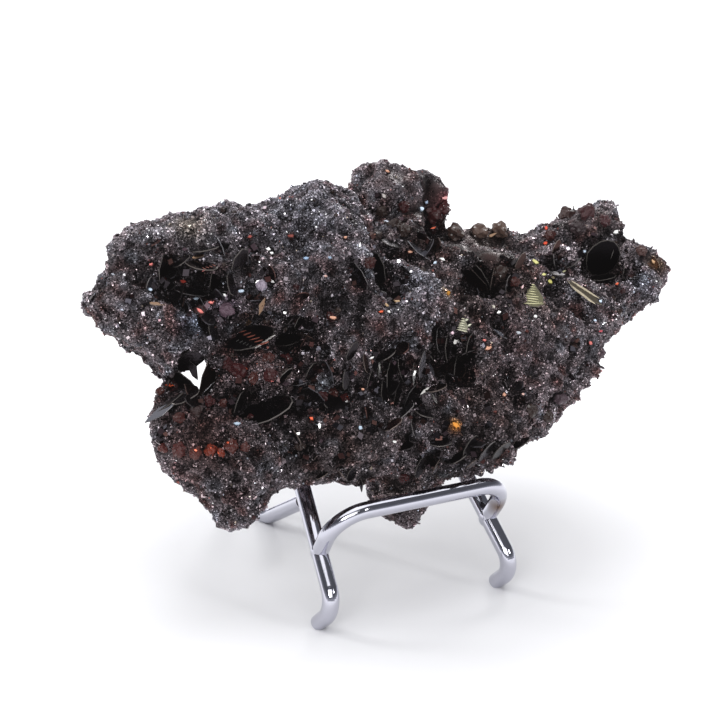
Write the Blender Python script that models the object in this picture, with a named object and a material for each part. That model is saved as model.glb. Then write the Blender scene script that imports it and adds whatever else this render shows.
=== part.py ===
"""A hematite specimen resting on a small display stand of chromed steel wire."""

import math
import random

import bmesh
import bpy
from mathutils import Matrix, Vector
from mathutils.bvhtree import BVHTree

MM = 0.001

# Wire of the stand, in millimetres, from the middle of the ground between the front feet
ROD_RADIUS = 1.75
ROD_GAP = 0.35
FLAT_DEPTH = 0.4
FOOT_HALF_SPAN = 21.65
LEG_SPLAY_IN = 0.145
LEG_LEAN_BACK = 0.87
LEG_BEND_Z = 7.0
TOP_BAR_Z = 49.0
TOP_BEND = 6.0
FOOT_BEND = 4.3
FOOT_CORNER_Z = 5.95
FOOT_SLOPE = math.radians(38.5)
LIP_WELD_Z = 15.2
LIP_BAR_Y = 0.7
LIP_BAR_Z = 24.7
LIP_RIGHT_SPREAD = 1.4
LIP_BEND = 7.0
REAR_HEEL_Y = 80.0
REAR_HEEL_BEND = 4.5
REAR_TOE_Y = 65.2
REAR_TOE_BEND = 10.0
REAR_TIP_Y = 49.0
REAR_TIP_Z = 9.94
ARC_STEP = math.radians(17)
TUBE_RESOLUTION = 3
SHARP_EDGE = math.radians(40)
MERGE_DISTANCE = 0.00001
GROUND_BLOCK = (90, 120, 10)
GROUND_MIDDLE_Y = 35

# Where the stone sits on the stand: its middle, and how far its face leans back
STONE_MIDDLE = (4.0, 22.0, 52.0)
STONE_LEAN = math.radians(30)
COARSE_GRAIN = 1.5
FACET_SHARE = 0.13
BALL_DETAIL = 3

# Lumps of the stone: across, depth (towards the back), height, then the half sizes, in millimetres
LEFT_END = (
    (-54, 1, 16, 8, 8, 7),
    (-45, 2, 24.5, 8.5, 10, 7),
    (-49, 0, 12, 9, 11, 8),
    (-44, 0, 5, 9, 10, 7),
)
TOP_RIDGE = (
    (-37, 3, 25, 11, 13, 8.5),
    (-25, 3, 25, 12, 14, 8.5),
    (-11, 2, 25.5, 11, 14, 10),
    (-4, 2, 26, 8, 12, 10),
    (-10, -3, 15, 11, 12, 12),
    (-6, -4, 4, 9, 10, 9),
)
TOP_KNOB = (
    (15, 9, 33.5, 8.5, 10, 8.5),
    (25.5, 10, 29, 6.5, 7, 6.5),
    (9, 9, 32, 5, 8, 6.5),
)
SADDLE = (
    (12, 6, 18, 15, 11, 11),
    (26, 10, 15, 14, 9, 10),
    (40, 11, 16, 12, 8, 8),
    (52, 10, 16, 12, 8, 8),
)
RIGHT_END = (
    (63, 10, 19, 8, 8, 7.5),
    (69, 9, 19, 6.5, 6, 6.5),
    (73.5, 6, 8.5, 8.5, 7, 6),
    (62, 3, 4, 12, 10, 8),
    (50, 3, -1, 12, 11, 9),
)
FACE = (
    (-38, -1, 15, 11, 11, 9),
    (-25, -2, 13, 12, 12, 10),
    (-22, -1, 2, 12, 10, 9),
    (-35, -1, -6, 11, 10, 6),
    (-14, -2, -4, 12, 11, 10),
    (3, -5, 4, 10, 10, 11),
    (2, -2, -8, 12, 11, 9),
    (15, -2, -6, 12, 11, 11),
    (17, -2, 8, 11, 10, 9),
    (31, 1, 8, 13, 10, 9),
    (47, 3, 8, 12, 9, 8),
)
LOWER_SLOPE = (
    (28, 0, -4, 15, 12, 13),
    (37.5, 1, -7, 12, 11, 9),
    (30, 0, -16, 12, 11, 9),
    (16, 0, -20, 12, 11, 10),
    (13, -3, -28, 5, 6, 5.5),
)
BOTTOM_BAND = (
    (2, 0, -19, 13, 12, 11),
    (-12, -1, -17, 12, 12, 11),
    (-26, 0, -17, 11, 11, 10),
)
LEFT_LOBE = (
    (-38, 0, -17, 11, 11, 11),
    (-47.5, 0, -12, 8, 9, 8.5),
    (-45.5, 1, -18, 6.5, 8, 6.5),
    (-42, 2, -25, 7, 7, 7),
    (-50, 0, -6, 5, 6, 4),
)
HANGING_LOBE = (
    (-1.5, 6, -30.5, 5.5, 5, 9),
)
BODY = (
    (-20, 4, 2, 26, 9, 16),
    (12, 4, 0, 26, 8, 15),
    (40, 6, 4, 24, 8, 12),
)
LUMPS = (
    LEFT_END + TOP_RIDGE + TOP_KNOB + SADDLE + RIGHT_END + FACE
    + LOWER_SLOPE + BOTTOM_BAND + LEFT_LOBE + HANGING_LOBE + BODY
)

# Hollows between the lumps, in the same order of numbers
HOLLOWS = (
    (-45, -11, 15, 8, 7, 5),
    (-34, -12, 4, 9, 9, 5),
    (-25, -12, 1, 7, 8, 5),
    (-1, -12, 12, 4, 10, 7),
    (8, -13, -9, 6, 9, 6),
    (-20, -13, -12, 6, 7, 4),
    (60, -2, 9, 9, 8, 6),
    (-35, -13, -11, 9, 7, 3.5),
    (-6, -14, -11, 7, 8, 6),
    (23, -9, 8, 8, 7, 5),
    (-48, -6, -2, 6, 8, 3),
)

# The slanting hole near the left end: its middle, its direction and its half sizes
HOLE_MIDDLE = (-44, 0, -0.5)
HOLE_AIM = (0.507, 0.842, 0.184)
HOLE_SIZE = (3.2, 26, 4.0)

# Large plate crystals: middle (across, depth, height), the way the flat face looks,
# radius, thickness and sides
PLATES = (
    ((-34, -9, 3.5), (0.25, -0.55, 0.8), 6.5, 0.8, 12),
    ((-34, -9, -12), (0.1, -0.4, 0.9), 7.5, 0.8, 10),
    ((59, -2, 9), (-0.5, -0.8, 0.3), 5.5, 0.8, 7),
    ((67, 0, 7.5), (0.3, -0.9, 0.3), 5.0, 0.8, 6),
    ((-37, -10, 19), (0.9, -0.4, 0.1), 3.8, 0.7, 6),
    ((-10, -9, -10), (0.9, -0.35, 0.1), 4.4, 0.7, 6),
    ((-5, -9, -10), (0.95, 0.1, 0.2), 4.8, 0.7, 7),
    ((-1, -9, -11), (0.8, -0.5, -0.2), 4.4, 0.7, 6),
    ((3, -9, -10), (0.85, -0.3, -0.4), 4.0, 0.7, 6),
    ((-6, -9, -16), (0.6, -0.3, 0.7), 4.2, 0.7, 6),
    ((-45, -3, 4), (0.6, -0.8, 0), 2.6, 0.7, 5),
    ((-50, -3, -2), (0.3, -0.6, 0.7), 3.6, 0.8, 6),
    ((-47.5, -1, -0.5), (-0.4, -0.3, 0.8), 3.2, 0.8, 6),
    ((-55, -4, -8), (-0.2, -0.5, 0.85), 3.4, 0.7, 6),
    ((50, -5, 3), (0.3, -0.7, 0.6), 5.5, 0.8, 7),
    ((5, -8, -24), (0.3, -0.7, -0.6), 4.2, 0.7, 6),
    ((9, -6, -26.5), (-0.3, -0.6, 0.7), 4.0, 0.7, 6),
    ((-2, -8, -26), (0.7, -0.6, 0.3), 3.6, 0.7, 6),
    ((18, -5, -26), (0.6, -0.5, -0.6), 4.0, 0.7, 6),
    ((15.5, -9, 0), (-0.6, -0.7, 0.4), 4.0, 0.7, 7),
    ((35, -6, 5), (-0.3, -0.8, 0.5), 4.2, 0.7, 6),
    ((1, -8, 9), (0.9, -0.4, 0.3), 4.2, 0.7, 6),
    ((-45, -10, 19), (0.3, -0.7, 0.6), 3.4, 0.7, 6),
    ((-41, -11, 16), (-0.2, -0.8, 0.6), 3.6, 0.7, 7),
    ((-31, -9, -8), (0.4, -0.8, 0.4), 3.6, 0.7, 6),
    ((-20.5, -11, -10), (-0.3, -0.9, 0.3), 3.4, 0.7, 6),
    ((-25, -10, -15.5), (0.7, -0.5, 0.5), 3.6, 0.7, 6),
    ((25, -4, 11), (0.8, -0.4, 0.4), 4.2, 0.7, 6),
    ((24, -9, -6), (-0.4, -0.8, 0.5), 3.4, 0.7, 6),
)

# Smaller plates that stand on the walls of every hollow
PLATES_PER_HOLLOW = 7
PLATE_RADIUS = (2.0, 3.6)
PLATE_THICKNESS = 0.7
PLATE_SIDES = 6
PLATE_STANDS_OUT = 0.35
PLATE_EDGE_TAPER = 0.93
PLATE_SEED = 5

# Uneven growth of the crust: the kind of wave, how wide it is, and how far it pushes
GROWTH = (("CLOUDS", 13, 5.0), ("CLOUDS", 5, 2.4), ("VORONOI", 3, 1.6))

CHROME_COLOUR = (0.62, 0.62, 0.66)
HEMATITE_COLOUR = (0.035, 0.028, 0.032)


def clear_scene():
    for item in list(bpy.data.objects):
        bpy.data.objects.remove(item, do_unlink=True)


def material(name, colour, roughness, metallic):
    made = bpy.data.materials.new(name)
    made.use_nodes = True
    shader = made.node_tree.nodes["Principled BSDF"]
    shader.inputs["Base Color"].default_value = (*colour, 1.0)
    shader.inputs["Roughness"].default_value = roughness
    shader.inputs["Metallic"].default_value = metallic
    return made


def put_in_scene(item, parent):
    bpy.context.scene.collection.objects.link(item)
    item.parent = parent
    return item


def hide_tool(item):
    item.hide_render = True
    item.display_type = "WIRE"


def bent_wire(corners, bends):
    """Points along a wire: straight runs between the corners, with an arc of its own radius at each bend."""
    corners = [Vector(corner) for corner in corners]
    points = [corners[0]]
    for before, corner, after, radius in zip(corners, corners[1:], corners[2:], bends):
        back = (before - corner).normalized()
        ahead = (after - corner).normalized()
        turn = math.pi - back.angle(ahead)
        reach = radius * math.tan(turn / 2)
        middle = corner + (back + ahead).normalized() * radius / math.cos(turn / 2)
        start = corner + back * reach - middle
        axis = start.cross(corner + ahead * reach - middle).normalized()
        steps = max(2, math.ceil(turn / ARC_STEP))
        for step in range(steps + 1):
            points.append(middle + Matrix.Rotation(turn * step / steps, 3, axis) @ start)
    points.append(corners[-1])
    return points


def tube_mesh(name, points, radius):
    """A closed round tube of the given radius along the points."""
    curve = bpy.data.curves.new(name, "CURVE")
    curve.dimensions = "3D"
    curve.bevel_depth = radius * MM
    curve.bevel_resolution = TUBE_RESOLUTION
    curve.use_fill_caps = True
    spline = curve.splines.new("POLY")
    spline.points.add(len(points) - 1)
    for target, point in zip(spline.points, points):
        target.co = (*(point * MM), 1.0)
    guide = bpy.data.objects.new(name + "_path", curve)
    bpy.context.scene.collection.objects.link(guide)
    mesh = bpy.data.meshes.new_from_object(guide.evaluated_get(bpy.context.evaluated_depsgraph_get()))
    bpy.data.objects.remove(guide, do_unlink=True)
    shape = bmesh.new()
    shape.from_mesh(mesh)
    bmesh.ops.remove_doubles(shape, verts=shape.verts, dist=MERGE_DISTANCE)
    bmesh.ops.recalc_face_normals(shape, faces=shape.faces)
    shape.to_mesh(mesh)
    shape.free()
    mesh.materials.clear()
    return mesh


def wire(name, points, parent, finish, ground):
    """A round wire along the points, ground flat where its feet meet the surface."""
    mesh = tube_mesh(name, points, ROD_RADIUS)
    mesh.materials.append(finish)
    mesh.shade_smooth()
    mesh.set_sharp_from_angle(angle=SHARP_EDGE)
    item = put_in_scene(bpy.data.objects.new(name, mesh), parent)
    cut_away(item, ground)
    return item


def ground_cutter(parent):
    """The block below the surface, which grinds the feet flat."""
    shape = bmesh.new()
    size = Vector(GROUND_BLOCK) * MM
    place = Matrix.Translation(Vector((0, GROUND_MIDDLE_Y * MM, -size.z / 2)))
    bmesh.ops.create_cube(shape, size=1, matrix=place @ Matrix.Diagonal(size).to_4x4())
    mesh = bpy.data.meshes.new("ground")
    shape.to_mesh(mesh)
    shape.free()
    item = put_in_scene(bpy.data.objects.new("ground", mesh), parent)
    hide_tool(item)
    return item


def leg_place(side, z):
    """The middle of a front leg at a height, on the side -1 (left) or 1 (right)."""
    rise = z - LEG_BEND_Z
    return Vector((side * (FOOT_HALF_SPAN - LEG_SPLAY_IN * rise), LEG_LEAN_BACK * rise, z))


def mirrored(place):
    return Vector((-place.x, place.y, place.z))


def welded_end(place, toward, along):
    """Where a wire stops, just clear of the wire through place that it is welded to."""
    aim = (toward - place).normalized()
    slant = aim.angle(along)
    return place + aim * (ROD_RADIUS * (1 + abs(math.cos(slant))) + ROD_GAP) / math.sin(slant)


def back_frame_points():
    """The upside-down U, whose feet slope back down to the ground."""
    top = leg_place(1, TOP_BAR_Z)
    corner = leg_place(1, FOOT_CORNER_Z)
    tip_z = ROD_RADIUS * math.cos(FOOT_SLOPE) - FLAT_DEPTH
    tip = corner + Vector((0, (corner.z - tip_z) / math.tan(FOOT_SLOPE), tip_z - corner.z))
    corners = [mirrored(tip), mirrored(corner), mirrored(top), top, corner, tip]
    return bent_wire(corners, (FOOT_BEND, TOP_BEND, TOP_BEND, FOOT_BEND))


def front_lip_points():
    """The shallow U that carries the stone, welded to the front of both legs. Its right arm spreads a little."""
    weld = leg_place(1, LIP_WELD_Z)
    left_corner = Vector((-weld.x, LIP_BAR_Y, LIP_BAR_Z))
    right_corner = Vector((weld.x + LIP_RIGHT_SPREAD, LIP_BAR_Y, LIP_BAR_Z))
    leg_way = leg_place(1, 1) - leg_place(1, 0)
    left_end = welded_end(mirrored(weld), left_corner, mirrored(leg_way))
    right_end = welded_end(weld, right_corner, leg_way)
    return bent_wire([left_end, left_corner, right_corner, right_end], (LIP_BEND, LIP_BEND))


def rear_leg_points():
    """The prop from the middle of the top bar to the ground, where it turns forward and then up."""
    ground_z = ROD_RADIUS - FLAT_DEPTH
    top = Vector((0, leg_place(1, TOP_BAR_Z).y, TOP_BAR_Z))
    heel = Vector((0, REAR_HEEL_Y, ground_z))
    toe = Vector((0, REAR_TOE_Y, ground_z))
    tip = Vector((0, REAR_TIP_Y, REAR_TIP_Z))
    start = welded_end(top, heel, Vector((1, 0, 0)))
    return bent_wire([start, heel, toe, tip], (REAR_HEEL_BEND, REAR_TOE_BEND))


def ball_cluster(name, balls):
    """One mesh of overlapping stretched balls."""
    shape = bmesh.new()
    for x, y, z, wide, deep, high in balls:
        place = Matrix.Translation(Vector((x, y, z)) * MM)
        size = Matrix.Diagonal(Vector((wide, deep, high)) * MM).to_4x4()
        bmesh.ops.create_icosphere(shape, subdivisions=BALL_DETAIL, radius=1, matrix=place @ size)
    mesh = bpy.data.meshes.new(name)
    shape.to_mesh(mesh)
    shape.free()
    return mesh


def grow_together(item):
    """Turns the surface into one skin of even grain."""
    made = item.modifiers.new("grown together", "REMESH")
    made.mode = "VOXEL"
    made.voxel_size = COARSE_GRAIN * MM


def rod_room(name, points, parent):
    """The room that a wire needs, with the gap between it and the stone that rests on it."""
    item = put_in_scene(bpy.data.objects.new(name, tube_mesh(name, points, ROD_RADIUS + ROD_GAP)), parent)
    hide_tool(item)
    return item


def cut_away(item, tool):
    cut = item.modifiers.new(tool.name, "BOOLEAN")
    cut.operation = "DIFFERENCE"
    cut.solver = "EXACT"
    cut.object = tool


def grow(item, pattern, width, push):
    """Pushes the surface in and out along its normal, in uneven waves."""
    texture = bpy.data.textures.new(f"growth {width}", pattern)
    texture.noise_scale = width * MM
    made = item.modifiers.new(texture.name, "DISPLACE")
    made.texture = texture
    made.texture_coords = "LOCAL"
    made.mid_level = 0.5
    made.strength = push * MM


def hole_mesh():
    """A long narrow ball along the slanting hole."""
    mesh = ball_cluster("hole", ((0, 0, 0, *HOLE_SIZE),))
    aim = Vector(HOLE_AIM).to_track_quat("Y", "Z").to_matrix().to_4x4()
    mesh.transform(Matrix.Translation(Vector(HOLE_MIDDLE) * MM) @ aim)
    return mesh


def tablet(shape, middle, facing, radius, thickness, sides):
    """One flat-faced plate crystal."""
    turn = Vector(facing).to_track_quat("Z", "Y").to_matrix().to_4x4()
    bmesh.ops.create_cone(
        shape,
        cap_ends=True,
        segments=sides,
        radius1=radius * MM,
        radius2=radius * MM * PLATE_EDGE_TAPER,
        depth=thickness * MM,
        matrix=Matrix.Translation(Vector(middle) * MM) @ turn,
    )


def plate_mesh(rock):
    """The plate crystals: the large ones, then smaller ones on the walls of the hollows in the rock."""
    shape = bmesh.new()
    for plate in PLATES:
        tablet(shape, *plate)
    chance = random.Random(PLATE_SEED)
    for x, y, z, *_ in HOLLOWS:
        for _ in range(PLATES_PER_HOLLOW):
            aim = Vector((chance.uniform(-1, 1), chance.uniform(-0.1, 1), chance.uniform(-1, 1))).normalized()
            across = aim.cross(Vector([chance.uniform(-1, 1) for _ in range(3)])).normalized()
            radius = chance.uniform(*PLATE_RADIUS)
            facing = across + aim * chance.uniform(-0.4, 0.4)
            wall = rock.ray_cast(Vector((x, y, z)) * MM, aim)[0]
            if wall is not None:
                middle = wall / MM - aim * radius * PLATE_STANDS_OUT
                tablet(shape, middle, facing, radius, PLATE_THICKNESS, PLATE_SIDES)
    mesh = bpy.data.meshes.new("plates")
    shape.to_mesh(mesh)
    shape.free()
    return mesh


def stone(parent, finish):
    """The lumps grown into one rock, with its hollows, its slanting hole and its plate crystals."""
    hollows = put_in_scene(bpy.data.objects.new("hollows", ball_cluster("hollows", HOLLOWS)), parent)
    grow_together(hollows)
    hide_tool(hollows)
    hole = put_in_scene(bpy.data.objects.new("hole", hole_mesh()), parent)
    hide_tool(hole)
    item = bpy.data.objects.new("hematite_specimen", ball_cluster("hematite_specimen", LUMPS))
    put_in_scene(item, parent)
    item.data.materials.append(finish)
    grow_together(item)
    cut_away(item, hollows)
    cut_away(item, hole)
    grow_together(item)
    for pattern, width, push in GROWTH:
        grow(item, pattern, width, push)
    thin = item.modifiers.new("facets", "DECIMATE")
    thin.ratio = FACET_SHARE
    rock = BVHTree.FromObject(item, bpy.context.evaluated_depsgraph_get())
    plates = put_in_scene(bpy.data.objects.new("plates", plate_mesh(rock)), parent)
    hide_tool(plates)
    join = item.modifiers.new("plates", "BOOLEAN")
    join.operation = "UNION"
    join.solver = "EXACT"
    join.use_self = True
    join.object = plates
    for part in (item, hollows, hole, plates):
        part.location = Vector(STONE_MIDDLE) * MM
        part.rotation_euler.x = -STONE_LEAN
    return item


def stand_on_origin(whole, parts):
    """Moves the object so that the middle of the underside of its box is the origin."""
    bpy.context.view_layer.update()
    graph = bpy.context.evaluated_depsgraph_get()
    places = []
    for part in parts:
        ready = part.evaluated_get(graph)
        places += [ready.matrix_world @ vertex.co for vertex in ready.to_mesh().vertices]
        ready.to_mesh_clear()
    low = [min(place[axis] for place in places) for axis in range(3)]
    high = [max(place[axis] for place in places) for axis in range(3)]
    whole.location = (-(low[0] + high[0]) / 2, -(low[1] + high[1]) / 2, -low[2])


def main():
    clear_scene()
    chrome = material("polished chrome", CHROME_COLOUR, roughness=0.08, metallic=1.0)
    hematite = material("hematite crystal crust", HEMATITE_COLOUR, roughness=0.35, metallic=0.6)
    whole = bpy.data.objects.new("specimen_on_stand", None)
    bpy.context.scene.collection.objects.link(whole)
    ground = ground_cutter(whole)
    routes = {
        "stand_back_frame": back_frame_points(),
        "stand_front_lip": front_lip_points(),
        "stand_rear_leg": rear_leg_points(),
    }
    specimen = stone(whole, hematite)
    parts = [specimen]
    for name, points in routes.items():
        parts.append(wire(name, points, whole, chrome, ground))
        cut_away(specimen, rod_room(name + "_room", points, whole))
    stand_on_origin(whole, parts)


main()
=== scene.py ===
import math

import bmesh
import bpy
import numpy as np
from mathutils import Matrix, Vector, kdtree, noise
from mathutils.bvhtree import BVHTree


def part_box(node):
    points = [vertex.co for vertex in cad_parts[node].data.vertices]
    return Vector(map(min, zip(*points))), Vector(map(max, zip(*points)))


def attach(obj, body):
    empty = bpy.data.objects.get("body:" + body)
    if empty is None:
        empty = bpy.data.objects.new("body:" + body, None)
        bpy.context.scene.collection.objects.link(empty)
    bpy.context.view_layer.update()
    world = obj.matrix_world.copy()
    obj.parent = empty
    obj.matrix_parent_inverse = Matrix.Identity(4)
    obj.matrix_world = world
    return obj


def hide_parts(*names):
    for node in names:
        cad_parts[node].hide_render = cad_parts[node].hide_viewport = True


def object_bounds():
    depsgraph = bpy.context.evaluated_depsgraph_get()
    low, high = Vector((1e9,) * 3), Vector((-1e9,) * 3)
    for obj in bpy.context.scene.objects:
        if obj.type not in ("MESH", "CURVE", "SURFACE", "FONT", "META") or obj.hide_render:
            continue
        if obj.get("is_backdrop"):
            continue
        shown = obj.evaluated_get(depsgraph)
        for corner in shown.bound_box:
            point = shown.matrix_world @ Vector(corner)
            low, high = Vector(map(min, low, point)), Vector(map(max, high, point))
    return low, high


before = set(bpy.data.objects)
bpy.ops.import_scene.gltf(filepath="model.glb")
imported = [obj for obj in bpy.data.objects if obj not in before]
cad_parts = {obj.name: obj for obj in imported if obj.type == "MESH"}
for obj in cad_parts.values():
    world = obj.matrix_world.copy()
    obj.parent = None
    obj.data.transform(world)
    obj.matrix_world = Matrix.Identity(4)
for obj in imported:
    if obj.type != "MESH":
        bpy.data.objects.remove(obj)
cad_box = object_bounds()


# The view: a long lens a little to the left of the specimen's front, looking slightly down on it.
# Colours are shown as a plain camera records them, so that the pale floor can reach full white.
MM = 0.001
CAMERA_AZIMUTH = math.radians(-31.7)
CAMERA_ELEVATION = math.radians(15.2)
CAMERA_DISTANCE = 420 * MM
CAMERA_AIM = Vector((-22.56, -27.33, 52.8)) * MM
LENS = 105.3
SENSOR = 36.0
PICTURE_SIDE = 720

camera_back = Vector((
    math.sin(CAMERA_AZIMUTH) * math.cos(CAMERA_ELEVATION),
    -math.cos(CAMERA_AZIMUTH) * math.cos(CAMERA_ELEVATION),
    math.sin(CAMERA_ELEVATION),
))
camera = bpy.data.objects.new("camera", bpy.data.cameras.new("camera"))
camera.data.lens = LENS
camera.data.sensor_width = SENSOR
camera.data.clip_start = 0.01
camera.data.clip_end = 20
camera.location = CAMERA_AIM + camera_back * CAMERA_DISTANCE
camera.rotation_euler = (-camera_back).to_track_quat("-Z", "Y").to_euler()
bpy.context.scene.collection.objects.link(camera)
bpy.context.scene.camera = camera
bpy.context.scene.view_settings.view_transform = "Standard"


# The studio: a white sweep that fills the picture, and a room that polished faces mirror, dim behind
# the camera and lighter to the sides. A very broad soft lamp stands overhead, a little to the back,
# and small bright lamps all around are what the crystal faces catch.
ROOM_GREYS = ((0.0, "#c6c7cd"), (0.14, "#7d7e84"), (0.36, "#55565a"), (0.8, "#5b5c61"), (1.0, "#9b9ca2"))
ROOM_STRENGTH = 1.25
KEY_TURN = (math.radians(-17), math.radians(-4), 0)
KEY_STRENGTH = 2.5
KEY_WIDTH = math.radians(96)
LAMPS = (
    ((-0.62, -0.62, 0.42), 0.30, 2.6),
    ((0.30, -0.80, 0.50), 0.16, 1.0),
    ((-0.40, -0.90, 0.55), 0.60, 2.4),
    ((0.60, 0.45, 0.50), 0.20, 1.6),
    ((-0.45, 0.65, 0.45), 0.20, 1.6),
)


def colour(code, alpha=1.0):
    """An sRGB hex code as linear red, green, blue and alpha."""
    shares = [int(code[place:place + 2], 16) / 255 for place in (1, 3, 5)]
    curved = [share / 12.92 if share <= 0.04045 else ((share + 0.055) / 1.055) ** 2.4 for share in shares]
    return (*curved, alpha)


def add(tree, kind, settings=None, links=None):
    """Adds a shader node, with its settings by attribute or socket name and its links by socket name."""
    made = tree.nodes.new("ShaderNode" + kind)
    for name, value in (settings or {}).items():
        if isinstance(name, str) and hasattr(made, name):
            setattr(made, name, value)
        else:
            made.inputs[name].default_value = value
    for name, source in (links or {}).items():
        tree.links.new(source, made.inputs[name])
    return made


world = bpy.data.worlds.new("studio")
world.use_nodes = True
bpy.context.scene.world = world
tree = world.node_tree
tree.nodes.clear()
way = add(tree, "TexCoord")
height = add(tree, "SeparateXYZ", links={0: way.outputs["Generated"]})
greys = add(tree, "ValToRGB", links={0: height.outputs["Z"]})
for count, (rise, code) in enumerate(ROOM_GREYS):
    stops = greys.color_ramp.elements
    stop = stops[count] if count < len(stops) else stops.new(rise)
    stop.position = rise
    stop.color = colour(code)
room = add(tree, "Background", {"Strength": ROOM_STRENGTH}, {"Color": greys.outputs["Color"]})
sweep = add(tree, "Background", {"Color": (1, 1, 1, 1), "Strength": 1.0})
ray = add(tree, "LightPath")
seen = add(tree, "MixShader", links={
    0: ray.outputs["Is Camera Ray"],
    1: room.outputs[0],
    2: sweep.outputs[0],
})
add(tree, "OutputWorld", links={"Surface": seen.outputs[0]})

key = bpy.data.objects.new("key lamp", bpy.data.lights.new("key lamp", "SUN"))
key.data.energy = KEY_STRENGTH
key.data.angle = KEY_WIDTH
key.rotation_euler = KEY_TURN
bpy.context.scene.collection.objects.link(key)
for count, (place, side, power) in enumerate(LAMPS):
    lamp = bpy.data.objects.new(f"lamp {count}", bpy.data.lights.new(f"lamp {count}", "AREA"))
    lamp.data.size = side
    lamp.data.energy = power
    lamp.location = place
    lamp.rotation_euler = Vector(place).to_track_quat("Z", "Y").to_euler()
    bpy.context.scene.collection.objects.link(lamp)


# The floor: a large sheet of matt white card, far wider than the picture, with a painted glow that
# grows away from the specimen so that it stays white to the picture's edges.
FLOOR_SIDE = 6.0
CARD_WHITE = "#e4e4e6"
CARD_ROUGHNESS = 0.9
CARD_SHINE = 0.2
PAINTED_GLOW_FROM = 0.045
PAINTED_GLOW_TO = 0.1
PAINTED_GLOW = 0.32

shape = bmesh.new()
bmesh.ops.create_grid(shape, x_segments=1, y_segments=1, size=FLOOR_SIDE / 2)
floor_mesh = bpy.data.meshes.new("floor")
shape.to_mesh(floor_mesh)
shape.free()
floor = bpy.data.objects.new("floor", floor_mesh)
bpy.context.scene.collection.objects.link(floor)
# Matt card: a pale white with no mirror image and a weak sheen, and a painted glow that rises away from the
# specimen
card = bpy.data.materials.new("matt white card")
card.use_nodes = True
tree = card.node_tree
card_shader = tree.nodes["Principled BSDF"]
place = add(tree, "TexCoord")
away = add(tree, "VectorMath", {"operation": "LENGTH"}, {0: place.outputs["Object"]})
# Painted glow: the card's emission rises away from the specimen and leaves the shade under it darker
glow = add(tree, "MapRange", {1: PAINTED_GLOW_FROM, 2: PAINTED_GLOW_TO, 3: 0.0, 4: PAINTED_GLOW}, {0: away.outputs["Value"]})
tree.links.new(glow.outputs[0], card_shader.inputs["Emission Strength"])
card_shader.inputs["Emission Color"].default_value = (1, 1, 1, 1)
card_shader.inputs["Base Color"].default_value = colour(CARD_WHITE)
card_shader.inputs["Roughness"].default_value = CARD_ROUGHNESS
card_shader.inputs["Specular IOR Level"].default_value = CARD_SHINE
floor_mesh.materials.append(card)
floor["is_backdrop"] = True


# The stand: three pieces of bent steel wire, polished and chromed, 3.5 mm thick. The back frame is an
# upside-down U whose feet curl back, the lip carries the stone, and the rear leg props the frame.
ROD_RADIUS = 1.75
FLAT_DEPTH = 0.4
FOOT_HALF_SPAN = 21.65
LEG_SPLAY_IN = 0.145
LEG_LEAN_BACK = 0.87
LEG_BEND_Z = 7.0
TOP_BAR_Z = 49.0
TOP_BEND = 6.0
FOOT_BEND = 4.3
FOOT_CORNER_Z = 5.95
FOOT_SLOPE = math.radians(38.5)
LIP_WELD_Z = 15.2
LIP_BAR_Y = 0.7
LIP_BAR_Z = 24.7
LIP_RIGHT_SPREAD = 1.4
LIP_BEND = 7.0
REAR_HEEL_Y = 80.0
REAR_HEEL_BEND = 4.5
REAR_TOE_Y = 65.2
REAR_TOE_BEND = 10.0
REAR_TIP_Y = 49.0
REAR_TIP_Z = 9.94
ARC_STEP = math.radians(4)
WIRE_SIDES = 32
SHARP_EDGE = math.radians(40)
STAND_FRONT = 0.664
WELD_SIZE = (1.9, 1.95, 2.5)
WELD_WAVE = 1.6
WELD_WAVE_DEPTH = 0.12
WELD_STAIN = (0.0203, 0.0030, 0.0185)

stand_low, stand_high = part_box("stand_back_frame")
stand_place = Matrix.Translation((
    (stand_low.x + stand_high.x) / 2,
    stand_low.y + STAND_FRONT * MM,
    0,
))


def bent_wire(corners, bends):
    """Points along a wire: straight runs between the corners, with an arc of its own radius at each bend."""
    points = [corners[0]]
    for before, corner, after, radius in zip(corners, corners[1:], corners[2:], bends):
        back = (before - corner).normalized()
        ahead = (after - corner).normalized()
        turn = math.pi - back.angle(ahead)
        reach = radius * math.tan(turn / 2)
        middle = corner + (back + ahead).normalized() * radius / math.cos(turn / 2)
        start = corner + back * reach - middle
        axis = start.cross(corner + ahead * reach - middle).normalized()
        steps = max(2, math.ceil(turn / ARC_STEP))
        for step in range(steps + 1):
            points.append(middle + Matrix.Rotation(turn * step / steps, 3, axis) @ start)
    points.append(corners[-1])
    return points


def leg_place(side, z):
    """The middle of a front leg at a height, on the side -1 (left) or 1 (right)."""
    rise = z - LEG_BEND_Z
    return Vector((side * (FOOT_HALF_SPAN - LEG_SPLAY_IN * rise), LEG_LEAN_BACK * rise, z))


def mirrored(place):
    return Vector((-place.x, place.y, place.z))


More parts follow.
